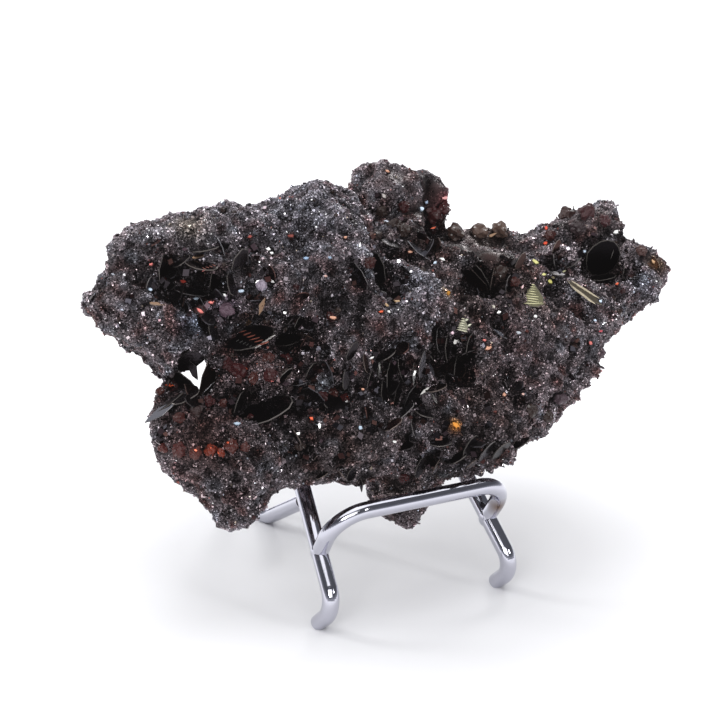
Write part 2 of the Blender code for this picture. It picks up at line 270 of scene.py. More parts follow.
leg_top = leg_place(1, TOP_BAR_Z)
foot_corner = leg_place(1, FOOT_CORNER_Z)
tip_z = ROD_RADIUS * math.cos(FOOT_SLOPE) - FLAT_DEPTH
foot_tip = foot_corner + Vector((0, (foot_corner.z - tip_z) / math.tan(FOOT_SLOPE), tip_z - foot_corner.z))
lip_weld = leg_place(1, LIP_WELD_Z)
left_corner = Vector((-lip_weld.x, LIP_BAR_Y, LIP_BAR_Z))
right_corner = Vector((lip_weld.x + LIP_RIGHT_SPREAD, LIP_BAR_Y, LIP_BAR_Z))
rear_weld = Vector((0, leg_top.y, TOP_BAR_Z))
rear_z = ROD_RADIUS - FLAT_DEPTH
ROUTES = {
    "bent_back_frame": bent_wire(
        [mirrored(foot_tip), mirrored(foot_corner), mirrored(leg_top), leg_top, foot_corner, foot_tip],
        (FOOT_BEND, TOP_BEND, TOP_BEND, FOOT_BEND),
    ),
    "bent_front_lip": bent_wire(
        [mirrored(lip_weld), left_corner, right_corner, lip_weld],
        (LIP_BEND, LIP_BEND),
    ),
    "bent_rear_leg": bent_wire(
        [
            rear_weld,
            Vector((0, REAR_HEEL_Y, rear_z)),
            Vector((0, REAR_TOE_Y, rear_z)),
            Vector((0, REAR_TIP_Y, REAR_TIP_Z)),
        ],
        (REAR_HEEL_BEND, REAR_TOE_BEND),
    ),
}
STANDS_FOR = {
    "bent_back_frame": "stand_back_frame",
    "bent_front_lip": "stand_front_lip",
    "bent_rear_leg": "stand_rear_leg",
}


def swept_wire(name, route):
    """Extrudes a round section along the route, turned at each point to face the way on."""
    shape = bmesh.new()
    aims = [(after - before).normalized() for before, after in zip(route, route[1:])]
    aims = [aims[0]] + [(a + b).normalized() for a, b in zip(aims, aims[1:])] + [aims[-1]]
    turn = aims[0].to_track_quat("Z", "Y").to_matrix().to_4x4()
    bmesh.ops.create_circle(
        shape,
        cap_ends=True,
        segments=WIRE_SIDES,
        radius=ROD_RADIUS * MM,
        matrix=Matrix.Translation(route[0] * MM) @ turn,
    )
    end = shape.faces[:]
    for before, place, aim_before, aim in zip(route, route[1:], aims, aims[1:]):
        grown = bmesh.ops.extrude_face_region(shape, geom=end)["geom"]
        end = [piece for piece in grown if isinstance(piece, bmesh.types.BMFace)]
        swing = aim_before.rotation_difference(aim).to_matrix().to_4x4()
        move = Matrix.Translation(place * MM) @ swing @ Matrix.Translation(-before * MM)
        rim = [piece for piece in grown if isinstance(piece, bmesh.types.BMVert)]
        bmesh.ops.transform(shape, matrix=move, verts=rim)
    bmesh.ops.recalc_face_normals(shape, faces=shape.faces)
    bmesh.ops.bisect_plane(
        shape,
        geom=shape.verts[:] + shape.edges[:] + shape.faces[:],
        plane_co=(0, 0, 0),
        plane_no=(0, 0, -1),
        clear_outer=True,
    )
    bmesh.ops.holes_fill(shape, edges=[edge for edge in shape.edges if edge.is_boundary], sides=0)
    mesh = bpy.data.meshes.new(name)
    shape.to_mesh(mesh)
    shape.free()
    mesh.transform(stand_place)
    mesh.shade_smooth()
    mesh.set_sharp_from_angle(angle=SHARP_EDGE)
    return mesh


def weld_beads():
    """Drops of weld metal, drawn smooth, where a wire's end meets the side of another."""
    shape = bmesh.new()
    for place in (lip_weld, mirrored(lip_weld), rear_weld):
        size = Matrix.Diagonal(Vector(WELD_SIZE) * MM).to_4x4()
        bmesh.ops.create_icosphere(
            shape,
            subdivisions=4,
            radius=1,
            matrix=Matrix.Translation(place * MM) @ size,
        )
    for vert in shape.verts:
        vert.co += vert.normal * noise.noise(vert.co / (WELD_WAVE * MM)) * WELD_WAVE_DEPTH * MM
    mesh = bpy.data.meshes.new("weld_beads")
    shape.to_mesh(mesh)
    shape.free()
    mesh.transform(stand_place)
    mesh.shade_smooth()
    return mesh


# Chrome plate over drawn wire is a near mirror. The wire under it is not quite even, so reflections
# waver along the runs; handling leaves fine hair scratches, and one weld kept a brown heat stain.
CHROME = "#c2c2cc"
CHROME_ROUGHNESS = 0.05
WAVER_WIDTH = 7.0
WAVER_DEPTH = 0.35
WAVER_SHARE = 0.12
SCRATCH_WIDTH = 0.35
SCRATCH_ROUGHNESS = 0.16
SCRATCH_FROM = 0.45
SCRATCH_TO = 0.8
STAIN_BROWN = "#6e5236"
STAIN_RADIUS = 3.0
STAIN_SHARE = 0.95

chrome = bpy.data.materials.new("chrome plate on drawn steel wire")
chrome.use_nodes = True
tree = chrome.node_tree
shader = tree.nodes["Principled BSDF"]
place = add(tree, "TexCoord").outputs["Object"]
waver = add(tree, "TexNoise", {"Scale": 1 / (WAVER_WIDTH * MM), "Detail": 1.0}, {"Vector": place})
hair = add(tree, "TexNoise", {"Scale": 1 / (SCRATCH_WIDTH * MM), "Detail": 3.0}, {"Vector": place})
uneven = {"Strength": WAVER_SHARE, "Distance": WAVER_DEPTH * MM}
bend = add(tree, "Bump", uneven, {"Height": waver.outputs[0]})
scratched = {1: SCRATCH_FROM, 2: SCRATCH_TO, 3: CHROME_ROUGHNESS, 4: SCRATCH_ROUGHNESS}
dull = add(tree, "MapRange", scratched, {0: hair.outputs[0]})
weld_spot = stand_place @ Vector(WELD_STAIN)
reach = add(tree, "VectorMath", {"operation": "DISTANCE", 1: weld_spot}, {0: place})
fading = {1: 0.0, 2: STAIN_RADIUS * MM, 3: STAIN_SHARE, 4: 0.0}
stained = add(tree, "MapRange", fading, {0: reach.outputs["Value"]})
plate_colour = add(tree, "Mix", {"data_type": "RGBA"}, {0: stained.outputs[0]})
plate_colour.inputs[6].default_value = colour(CHROME)
plate_colour.inputs[7].default_value = colour(STAIN_BROWN)
tree.links.new(plate_colour.outputs[2], shader.inputs["Base Color"])
tree.links.new(dull.outputs[0], shader.inputs["Roughness"])
tree.links.new(bend.outputs[0], shader.inputs["Normal"])
shader.inputs["Metallic"].default_value = 1.0

for name, route in ROUTES.items():
    wire = bpy.data.objects.new(name, swept_wire(name, route))
    wire.data.materials.append(chrome)
    bpy.context.scene.collection.objects.link(wire)
    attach(wire, "root")
    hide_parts(STANDS_FOR[name])
beads = bpy.data.objects.new("weld_beads", weld_beads())
beads.data.materials.append(chrome)
bpy.context.scene.collection.objects.link(beads)
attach(beads, "root")


# The specimen's body: one natural lump of hematite, grown as many rounded masses that run into each
# other, with open hollows between them. It leans back on the stand, so it is shaped in its own frame
# (across, depth to the back, height), in millimetres, and set in place at the end.
STONE_MIDDLE = (4.0, 22.0, 52.0)
STONE_LEAN = math.radians(30)
COARSE_GRAIN = 1.5
HOLLOW_GRAIN = 0.8
FINE_GRAIN = 0.62
BALL_DETAIL = 3
LEFT_END = (
    (-54, 1, 16, 8, 8, 7),
    (-45, 2, 24.5, 8.5, 10, 7),
    (-49, 0, 12, 9, 11, 8),
    (-44, 0, 5, 9, 10, 7),
)
TOP_RIDGE = (
    (-37, 3, 25, 11, 13, 8.5),
    (-25, 3, 25, 12, 14, 8.5),
    (-11, 2, 25.5, 11, 14, 10),
    (-4, 2, 26, 8, 12, 10),
    (-10, -3, 15, 11, 12, 12),
    (-6, -4, 4, 9, 10, 9),
)
TOP_KNOB = (
    (15, 9, 33.5, 8.5, 10, 8.5),
    (25.5, 10, 29, 6.5, 7, 6.5),
    (9, 9, 32, 5, 8, 6.5),
    (21.0, 8.5, 32.0, 5.2, 6.0, 5.4),
)
SADDLE = (
    (12, 6, 18, 15, 11, 11),
    (26, 10, 15, 14, 9, 10),
    (40, 11, 16, 12, 8, 8),
    (52, 10, 16, 12, 8, 8),
)
RIGHT_END = (
    (63, 10, 19, 8, 8, 7.5),
    (69, 9, 19, 6.5, 6, 6.5),
    (73.5, 6, 8.5, 8.5, 7, 6),
    (62, 3, 4, 12, 10, 8),
    (50, 3, -1, 12, 11, 9),
)
FACE = (
    (-38, -1, 15, 11, 11, 9),
    (-25, -2, 13, 12, 12, 10),
    (-22, -1, 2, 12, 10, 9),
    (-35, -1, -6, 11, 10, 6),
    (-14, -2, -4, 12, 11, 10),
    (3, -5, 4, 10, 10, 11),
    (2, -2, -8, 12, 11, 9),
    (15, -2, -6, 12, 11, 11),
    (17, -2, 8, 11, 10, 9),
    (31, 1, 8, 13, 10, 9),
    (47, 3, 8, 12, 9, 8),
)
LOWER_SLOPE = (
    (28, 0, -4, 15, 12, 13),
    (37.5, 1, -7, 12, 11, 9),
    (30, 0, -16, 12, 11, 9),
    (16, 0, -20, 12, 11, 10),
    (13, -3, -28, 5, 6, 5.5),
)
BOTTOM_BAND = (
    (2, 0, -19, 13, 12, 11),
    (-12, -1, -17, 12, 12, 11),
    (-26, 0, -17, 11, 11, 10),
)
LEFT_LOBE = (
    (-38, 0, -17, 11, 11, 11),
    (-47.5, 0, -12, 8, 9, 8.5),
    (-45.5, 1, -18, 6.5, 8, 6.5),
    (-42, 2, -25, 7, 7, 7),
    (-50, 0, -6, 5, 6, 4),
)
HANGING_LOBE = (
    (-2.0, 6, -30.3, 6.3, 5, 8.3),
)
BODY = (
    (-20, 4, 2, 26, 9, 16),
    (12, 4, 0, 26, 8, 15),
    (40, 6, 4, 24, 8, 12),
)
SADDLE_LUMPS = (
    (30.3, 7.0, 22.4, 2.9, 3.4, 2.7),
    (36.4, 7.5, 21.7, 2.6, 3.2, 2.5),
    (42.3, 7.5, 21.4, 2.8, 3.4, 2.6),
    (47.5, 8.0, 19.6, 2.6, 3.2, 2.2),
    (25.9, 8.5, 31.2, 4.3, 5.0, 4.3),
    (27.4, 8.5, 28.4, 3.1, 4.0, 3.4),
    (23.4, 8.0, 34.6, 3.6, 4.5, 3.3),
)
CORNERS = (
    (-54.7, -2.0, 23.6, 3.4, 3.6, 3.2),
    (-57.3, -2.0, 20.2, 2.8, 3.2, 2.8),
    (-53.0, -2.0, 26.8, 3.0, 3.4, 3.0),
    (50.0, -2.0, -10.0, 3.6, 3.8, 3.4),
    (46.9, -2.0, -14.1, 3.4, 3.6, 3.2),
    (51.4, -2.0, -7.4, 3.0, 3.4, 3.0),
    (26.4, 6.0, 31.5, 3.4, 3.6, 3.0),
    (72.3, 8.0, 23.5, 3.0, 3.2, 3.0),
)
LUMPS = (
    LEFT_END + TOP_RIDGE + TOP_KNOB + SADDLE + RIGHT_END + FACE
    + LOWER_SLOPE + BOTTOM_BAND + LEFT_LOBE + HANGING_LOBE + BODY + SADDLE_LUMPS + CORNERS
)
HOLLOWS = (
    (-45, -11, 15, 8, 7, 5),
    (-34, -12, 4, 9, 9, 5),
    (-25, -12, 1, 7, 8, 5),
    (-1, -12, 12, 4, 10, 7),
    (8, -13, -9, 6, 9, 6),
    (-20, -13, -12, 6, 7, 4),
    (60, -2, 9, 9, 8, 6),
    (-35, -13, -11, 9, 7, 3.5),
    (-6, -14, -11, 7, 8, 6),
    (23, -9, 8, 8, 7, 5),
    (-48, -6, -2, 6, 8, 3),
)
SMALL_HOLLOWS = (
    (-46, -7, 19, 2.0, 2.9, 4.4),
    (-41, -7, 15, 4.4, 2.9, 2.8),
    (-33, -13, 18, 2.8, 2.9, 3.6),
    (-42, -10, 6, 2.2, 3.6, 3.6),
    (-35, -9, 2, 5.6, 3.6, 2.2),
    (-24, -6, 2, 3.4, 3.6, 2.4),
    (-32, -13, 9, 2.0, 2.2, 1.6),
    (-2, -12, 13, 2.6, 4.3, 4.0),
    (-10, -15, 12, 1.4, 2.9, 3.2),
    (11, -8, -10, 3.0, 4.3, 4.0),
    (-7, -12, -6, 4.4, 2.9, 2.8),
    (-19, -13, -11, 2.8, 2.9, 2.8),
    (-22, -12, -15, 2.0, 2.9, 1.8),
    (-27, -13, -14, 2.0, 3.6, 2.4),
    (-38, -10, -10, 5.2, 4.3, 4.0),
    (-50, -9, -6, 6.0, 3.6, 2.0),
    (21, -11, 10, 4.4, 3.6, 2.8),
    (31, -10, 11, 2.8, 3.6, 2.4),
    (12, -14, -5, 2.8, 3.6, 2.2),
    (59, -4, 10, 5.2, 4.3, 3.6),
    (45, -5, 11, 2.2, 2.9, 2.0),
    (-5, -9, -14, 4.4, 3.6, 2.8),
    (6, -11, -4, 2.4, 2.9, 2.8),
    (0, -12, -24, 4.0, 2.9, 2.0),
    (9, -10, -28, 4.4, 2.9, 2.0),
    (-21, -10, -2, 2.4, 2.2, 2.0),
    (9, -3, 24, 2.0, 2.2, 1.6),
    (14, -8, 19, 3.2, 2.9, 2.0),
    (-42, -10, -7, 2.4, 2.9, 2.4),
    (23, -9, -19, 1.2, 2.2, 1.8),
    (-30, -9, -21, 2.0, 2.2, 1.6),
    (-21, -8, -24, 2.8, 2.2, 1.6),
    (-29, -14, 14, 1.6, 2.2, 2.0),
    (-57, -7, 15, 1.2, 1.4, 1.4),
    (-1, -6, -28, 2.4, 2.9, 2.0),
    (41, -9, -9, 2.0, 1.8, 1.6),
    (-56, -4, -12, 1.6, 2.2, 2.0),
    (-16, -13, -17, 2.4, 2.2, 1.8),
    (23, -11, -1, 1.8, 1.8, 1.6),
    (-26, -8, -8, 2.4, 2.2, 1.6),
)
EDGE_NOTCHES = (
    (46.5, 6.0, 24.6, 3.4, 6.0, 3.0),
    (41.5, 6.0, 25.6, 2.6, 6.0, 2.4),
    (38.7, -2.0, -26.0, 3.2, 6.0, 3.0),
    (17.2, -2.0, -34.0, 3.4, 6.0, 3.0),
    (11.0, -2.0, -34.2, 2.6, 6.0, 2.4),
    (-66.0, -2.0, 10.4, 3.4, 6.0, 3.0),
    (-63.2, -2.0, 6.8, 2.8, 6.0, 2.4),
    (-32.4, -2.0, -29.8, 3.2, 6.0, 2.8),
    (-35.6, -2.0, -31.7, 2.6, 6.0, 2.4),
    (2.4, 2.0, 36.0, 2.4, 6.0, 2.6),
)
HOLE_MIDDLE = (-44, 0, -0.5)
HOLE_AIM = (0.507, 0.842, 0.184)
HOLE_SIZE = (3.4, 26, 5.0)
GROWTH = (
    ("CLOUDS", 13, 5.0),
    ("CLOUDS", 5, 2.4),
    ("VORONOI", 3, 1.6),
)
FINE_GROWTH = (
    ("CLOUDS", 1.7, 0.8),
    ("VORONOI", 1.1, 0.6),
)
CRUST_TRIM = 0.3
CRUST_SEED = 7

stone_place = (
    stand_place
    @ Matrix.Translation(Vector(STONE_MIDDLE) * MM)
    @ Matrix.Rotation(-STONE_LEAN, 4, "X")
)


def ball_cluster(name, balls):
    """One mesh of overlapping stretched balls."""
    shape = bmesh.new()
    for x, y, z, wide, deep, high in balls:
        place = Matrix.Translation(Vector((x, y, z)) * MM)
        size = Matrix.Diagonal(Vector((wide, deep, high)) * MM).to_4x4()
        bmesh.ops.create_icosphere(shape, subdivisions=BALL_DETAIL, radius=1, matrix=place @ size)
    mesh = bpy.data.meshes.new(name)
    shape.to_mesh(mesh)
    shape.free()
    return mesh


def scratch_object(name, mesh):
    """An object that only helps to shape another one."""
    made = bpy.data.objects.new(name, mesh)
    bpy.context.scene.collection.objects.link(made)
    return made


def grow_together(item, grain):
    """Turns the surface into one skin of even grain."""
    made = item.modifiers.new("grown together", "REMESH")
    made.mode = "VOXEL"
    made.voxel_size = grain * MM


def cut_away(item, tool):
    cut = item.modifiers.new(tool.name, "BOOLEAN")
    cut.operation = "DIFFERENCE"
    cut.solver = "EXACT"
    cut.object = tool


def grow(item, pattern, width, push):
    """Pushes the surface in and out along its normal, in uneven waves."""
    texture = bpy.data.textures.new(f"growth {width}", pattern)
    texture.noise_scale = width * MM
    made = item.modifiers.new(texture.name, "DISPLACE")
    made.texture = texture
    made.texture_coords = "LOCAL"
    made.mid_level = 0.5
    made.strength = push * MM


hollows = scratch_object("hollows", ball_cluster("hollows", HOLLOWS + SMALL_HOLLOWS + EDGE_NOTCHES))
grow_together(hollows, HOLLOW_GRAIN)
hole_mesh = ball_cluster("hole", ((0, 0, 0, *HOLE_SIZE),))
hole_turn = Vector(HOLE_AIM).to_track_quat("Y", "Z").to_matrix().to_4x4()
hole_mesh.transform(Matrix.Translation(Vector(HOLE_MIDDLE) * MM) @ hole_turn)
hole = scratch_object("hole", hole_mesh)
block = scratch_object("block", ball_cluster("block", LUMPS))
grow_together(block, COARSE_GRAIN)
cut_away(block, hollows)
cut_away(block, hole)
grow_together(block, FINE_GRAIN)
for pattern, width, push in GROWTH + FINE_GROWTH:
    grow(block, pattern, width, push)
trim = block.modifiers.new("trim", "DISPLACE")
trim.mid_level = 0
trim.strength = -CRUST_TRIM * MM
crust_mesh = bpy.data.meshes.new_from_object(block.evaluated_get(bpy.context.evaluated_depsgraph_get()))
for helper in (block, hollows, hole):
    bpy.data.objects.remove(helper, do_unlink=True)


def mesh_points(mesh):
    """The vertices of a mesh as rows of x, y and z."""
    points = np.zeros(len(mesh.vertices) * 3, np.float32)
    mesh.vertices.foreach_get("co", points)
    return points.reshape(-1, 3)


WIRE_STEP = 0.4
WIRE_ROOM = 0.25
WIRE_SEARCH = 6


def wire_tree():
    """A quick way to find the nearest place on the middle line of any wire."""
    places = []
    for route in ROUTES.values():
        for before, after in zip(route, route[1:]):
            steps = max(1, math.ceil((after - before).length / WIRE_STEP))
            places += [before.lerp(after, step / steps) for step in range(steps)]
        places.append(route[-1])
    found = kdtree.KDTree(len(places))
    for count, place in enumerate(places):
        found.insert(stand_place @ (place * MM), count)
    found.balance()
    return found


def wire_reach(points):
    """How far each point is from the nearest wire's middle line, and where that is."""
    reach = np.full(len(points), 1.0)
    nearest = np.zeros((len(points), 3))
    low = np.array(stand_low) - WIRE_SEARCH * MM
    high = np.array(stand_high) + WIRE_SEARCH * MM
    for row in np.flatnonzero(((points[:, :2] > low[:2]) & (points[:, 2:] < high[2])).all(1)):
        place, _, away = wires.find(points[row])
        reach[row] = away
        nearest[row] = place
    return reach, nearest


def smoothed(mesh, points, steps):
    """The vertices moved step by step to the middle of their neighbours."""
    edges = np.zeros(len(mesh.edges) * 2, np.int32)
    mesh.edges.foreach_get("vertices", edges)
    a, b = edges.reshape(-1, 2).T
    ends = np.concatenate([a, b])
    degree = np.bincount(ends, minlength=len(points))[:, None]
    smooth = points.astype(float)
    for _ in range(steps):
        others = np.concatenate([smooth[b], smooth[a]])
        total = [np.bincount(ends, others[:, axis], len(points)) for axis in range(3)]
        smooth = np.stack(total, 1) / degree
    return smooth


def picture_ray(px, py):
    """Where a line of sight through a place in the picture starts, and the way that it goes."""
    half = SENSOR / LENS / 2
    view = camera.rotation_euler.to_matrix()
    across = (px / PICTURE_SIDE * 2 - 1) * half
    up = (1 - py / PICTURE_SIDE * 2) * half
    return camera.location.copy(), (view @ Vector((across, up, -1))).normalized()


def on_crust(px, py):
    """The crust's place and outward normal at a place in the picture, or None beside the specimen."""
    start, aim = picture_ray(px, py)
    place, normal, _, _ = crust_tree.ray_cast(start, aim)
    return None if place is None else (place, normal)


def found_on_crust(places):
    """The listed places that lie on the crust, each with its middle in the room put first."""
    found = []
    for (px, py), *rest in places:
        hit = on_crust(px, py)
        if hit:
            found.append((np.array(hit[0]), *rest))
    return found


def near(points, middle, radius):
    return np.exp(-((points - middle) ** 2).sum(1) / (radius * MM) ** 2)[:, None]


def smooth_share(points):
    """How smooth the crust is at each point, from 0 for fine druse to 1 for bare rounded hematite."""
    share = np.zeros((len(points), 1))
    for middle, radius, strength in smooth_spots:
        share = np.maximum(share, near(points, middle, radius) * strength * 1.4)
    return np.clip(share, 0, 1)[:, 0]


def tree_of(mesh):
    return BVHTree.FromPolygons(
        [vertex.co for vertex in mesh.vertices],
        [face.vertices for face in mesh.polygons],
    )


# Part of the crust is bare rounded hematite without druse: the knob's shoulder, the saddle's rim and
# the right end. Place in the picture, reach in millimetres, how smooth.
SMOOTH_SPOTS = (
    ((452, 236), 3.4, 1.0),
    ((476, 238), 3.4, 1.0),
    ((500, 236), 3.4, 1.0),
    ((430, 192), 4.6, 0.9),
    ((446, 208), 3.8, 1.0),
    ((420, 215), 3.4, 0.9),
    ((398, 178), 4.2, 0.6),
    ((578, 222), 4.2, 0.35),
    ((606, 212), 4.4, 0.3),
    ((560, 222), 3.0, 0.35),
    ((632, 248), 3.4, 0.5),
    ((652, 262), 3.8, 0.9),
    ((658, 284), 3.2, 0.7),
    ((610, 258), 3.6, 0.8),
    ((494, 285), 3.0, 0.7),
    ((462, 249), 4.4, 1.0),
    ((488, 251), 4.4, 1.0),
)
BARE_SMOOTHING = 6
BARE = "#4c4040"

# The last touches to the outline: place in the picture, the way that is outward there in degrees, and
# how far the crust is drawn out there in millimetres, or in where it is negative
NUDGES = (
    ((94, 320), -130, -1.5),
    ((83, 309), -170, 0.8),
    ((83, 297), 155, 0.7),
    ((99, 278), 150, -0.5),
    ((103, 264), 160, 0.9),
    ((152, 219), 110, 0.5),
    ((109, 255), 160, 0.5),
    ((170, 214), 100, -0.6),
    ((188, 212), 95, -0.8),
    ((198, 210), 110, -0.7),
    ((206, 207), 115, 1.2),
    ((224, 201), 90, 1),
    ((259, 202), 115, 0.5),
    ((286, 193), 105, -0.5),
    ((314, 182), 95, 1.2),
    ((300, 184), 100, 0.6),
    ((328, 182), 100, 1.1),
    ((348, 178), 150, 1.2),
    ((348, 189), 135, -1),
    ((404, 168), 70, -1.3),
    ((426, 177), 65, 0.9),
    ((441, 188), 40, 0.6),
    ((447, 203), 15, -0.7),
    ((445, 224), 25, -7),
    ((458, 225), 75, -2.2),
    ((476, 228), 90, -0.9),
    ((494, 227), 90, 0.7),
    ((506, 230), 55, -1.2),
    ((516, 235), 80, -2.8),
    ((524, 235), 105, -2.1),
    ((533, 231), 115, -1.9),
    ((549, 222), 120, -0.5),
    ((564, 212), 115, -0.9),
    ((602, 202), 90, -0.5),
    ((613, 232), 10, -1.2),
    ((628, 240), 60, 3.4),
    ((638, 245), 65, 0.7),
    ((650, 249), 50, -0.9),
    ((658, 258), 50, -0.6),
    ((668, 266), 15, 0.6),
    ((667, 276), -10, 0.8),
    ((664, 280), -10, 0.9),
    ((657, 296), -45, 1.6),
    ((645, 304), -55, -1.9),
    ((635, 313), -45, -1.1),
    ((627, 322), -50, -0.6),
    ((618, 329), -50, -0.8),
    ((608, 338), -40, -0.8),
    ((602, 350), -10, -0.6),
    ((599, 368), -30, -0.6),
    ((590, 376), -55, -2.1),
    ((579, 400), -35, 2.6),
    ((566, 408), -55, -4.2),
    ((558, 416), -45, -0.9),
    ((555, 423), -25, -0.9),
    ((512, 458), -60, 2.4),
    ((498, 463), -65, -3.4),
    ((490, 471), -50, -2.3),
    ((441, 483), -80, 0.7),
    ((475, 478), -60, -2.2),
    ((343, 484), -90, 0.8),
    ((261, 513), -40, -0.7),
    ((210, 512), -145, -1),
    ((200, 501), -130, -1),
    ((168, 474), -140, 0.6),
    ((189, 492), -125, -0.6),
    ((158, 458), -165, -0.5),
    ((153, 441), -160, -0.6),
    ((147, 423), -175, 0.7),
    ((152, 404), 165, -0.8),
    ((158, 386), 180, 0.6),
    ((163, 384), -170, -0.6),
    ((150, 368), -150, -0.7),
    ((134, 354), -115, -0.6),
    ((120, 345), -125, -0.6),
    ((103, 330), -140, -1.5),
)
NUDGE_REACH = 12.0


def nudged(points):
    """The vertices drawn out or in beside the listed places."""
    view = np.array(camera.rotation_euler.to_matrix())
    from_camera = (points - np.array(camera.location)) @ view
    seen = from_camera[:, :2] / -from_camera[:, 2:] * LENS / SENSOR * PICTURE_SIDE
    seen = seen * (1, -1) + PICTURE_SIDE / 2
    total = np.zeros(len(points))
    push = np.zeros((len(points), 3))
    for place, angle, far in NUDGES:
        share = np.exp(-((seen - place) ** 2).sum(1) / NUDGE_REACH**2)
        way = view[:, 0] * math.cos(math.radians(angle)) + view[:, 1] * math.sin(math.radians(angle))
        total += share
        push += share[:, None] * way * far * MM
    return points + push / np.maximum(total, 1)[:, None]


# Where the specimen lies on the wires its grains were rubbed down, so the crust keeps clear of them.
wires = wire_tree()
crust_mesh.transform(stone_place)
points = nudged(mesh_points(crust_mesh))
crust_tree = tree_of(crust_mesh)
smooth_spots = found_on_crust(SMOOTH_SPOTS)
bare = smooth_share(points)[:, None]
points = (points + (smoothed(crust_mesh, points, BARE_SMOOTHING) - points) * bare).astype(np.float32)
reach, nearest = wire_reach(points)
close = reach < (ROD_RADIUS + WIRE_ROOM) * MM
aside = (points[close] - nearest[close]) / reach[close][:, None]
points[close] = nearest[close] + aside * (ROD_RADIUS + WIRE_ROOM) * MM
crust_mesh.vertices.foreach_set("co", points.ravel())
crust_mesh.update()


# The crust's finish. Fine hematite druse is a skin of mirror-like grains under half a millimetre wide:
# violet grey to blue grey, browner and redder in patches, and painted near black down in the hollows as
# painted shade. The finest real grains are too fine to show, so they are drawn 0.28 mm wide.
GRAIN_WIDTH = 0.28
GRAIN_TILT = 1.1
UNDER_GRAIN_PAINTED_SHADE = 0.5
VIOLET_GREY = "#786f73"
BLUE_GREY = "#74747b"
RED_BROWN = "#5c4443"
PATCH_WIDTH = 3.2
CLUSTER_SHADE = 0.6
HOLLOW_REACH = 1.15
HOLLOW_PAINTED_SHADE = 0.45
CREASE_PAINTED_SHADE = 0.75
CREASE_HEIGHT = 0.5
SMOOTHING = 14
# Painted shade and painted light: places in the picture, with a reach in millimetres, and how much darker
# (painted shade, mostly in and about the hollows) or lighter (painted light) the crust is painted there
PAINTED_SHADE_SPOTS = (
    ((428, 178), 2.5, 0.5),
    ((170, 228), 9, 1.2),
    ((310, 216), 10, 1.2),
    ((420, 228), 3.5, 0.25),
    ((560, 226), 2.5, 0.35),
    ((586, 208), 2.5, 0.45),
    ((180, 268), 4.5, 0.6),
    ((238, 268), 4, 0.2),
    ((250, 264), 4, 0.6),
    ((296, 276), 2.5, 0.45),
    ((372, 260), 2.5, 0.4),
    ((376, 268), 4, 0.5),
    ((418, 244), 4, 0.4),
    ((440, 240), 2.5, 0.3),
    ((450, 244), 3.5, 0.5),
    ((474, 254), 6.5, 0.22),
    ((480, 266), 4, 0.55),
    ((510, 256), 3.5, 0.4),
    ((510, 272), 5, 0.6),
    ((556, 268), 3, 0.4),
    ((604, 262), 4, 0.7),
    ((632, 266), 3.5, 1.9),
    ((102, 294), 2.5, 0.45),
    ((116, 310), 9, 0.85),
    ((160, 290), 3, 0.5),
    ((320, 310), 2.5, 0.4),
    ((334, 304), 2.5, 0.35),
    ((336, 292), 3, 0.5),
    ((340, 282), 2.5, 0.35),
    ((358, 310), 2.5, 0.4),
    ((372, 292), 3.5, 0.5),
    ((394, 282), 3.5, 2.5),
    ((416, 290), 6, 1.3),
    ((470, 296), 3, 0.55),
    ((500, 292), 3.5, 0.25),
    ((510, 300), 2.5, 0.5),
    ((118, 336), 2.5, 0.5),
    ((204, 344), 3, 0.2),
    ((284, 336), 3.5, 0.45),
    ((308, 340), 3, 2.5),
    ((376, 344), 3.5, 0.6),
    ((402, 350), 3.5, 1.6),
    ((414, 320), 2.5, 0.5),
    ((440, 344), 4, 0.35),
    ((480, 344), 3.5, 0.55),
    ((528, 338), 2.5, 0.45),
    ((280, 390), 3.5, 1.8),
    ((300, 370), 3.5, 1.9),
    ((336, 368), 2.5, 0.45),
    ((376, 384), 5, 0.7),
    ((450, 370), 4.5, 0.5),
    ((480, 360), 2.5, 0.45),
    ((530, 376), 10, 1.1),
    ((168, 410), 3, 0.5),
    ((176, 400), 4.5, 0.2),
    ((204, 410), 4, 0.5),
    ((204, 434), 2.5, 0.35),
    ((240, 400), 5, 0.35),
    ((270, 404), 5.5, 0.7),
    ((300, 412), 5, 0.15),
    ((324, 402), 4, 0.65),
    ((336, 432), 2.5, 0.4),
    ((350, 400), 4.5, 0.55),
    ((380, 432), 2.5, 0.4),
    ((382, 406), 3, 0.25),
    ((424, 400), 4, 0.7),
    ((434, 412), 2.5, 0.4),
    ((448, 414), 2.5, 0.45),
    ((546, 434), 2.5, 0.4),
    ((156, 440), 2.5, 0.35),
    ((236, 460), 2.5, 0.35),
    ((252, 440), 2.5, 0.4),
    ((272, 460), 2.5, 0.45),
    ((324, 470), 5, 0.35),
    ((368, 440), 2.5, 0.4),
    ((372, 464), 2.5, 0.4),
    ((448, 472), 3, 0.5),
    ((450, 452), 5, 0.4),
    ((452, 476), 2.5, 0.25),
    ((490, 444), 6, 0.35),
    ((220, 480), 11, 0.8),
    ((356, 484), 3, 0.5),
    ((364, 480), 2.5, 0.45),
    ((404, 504), 5, 0.65),
)
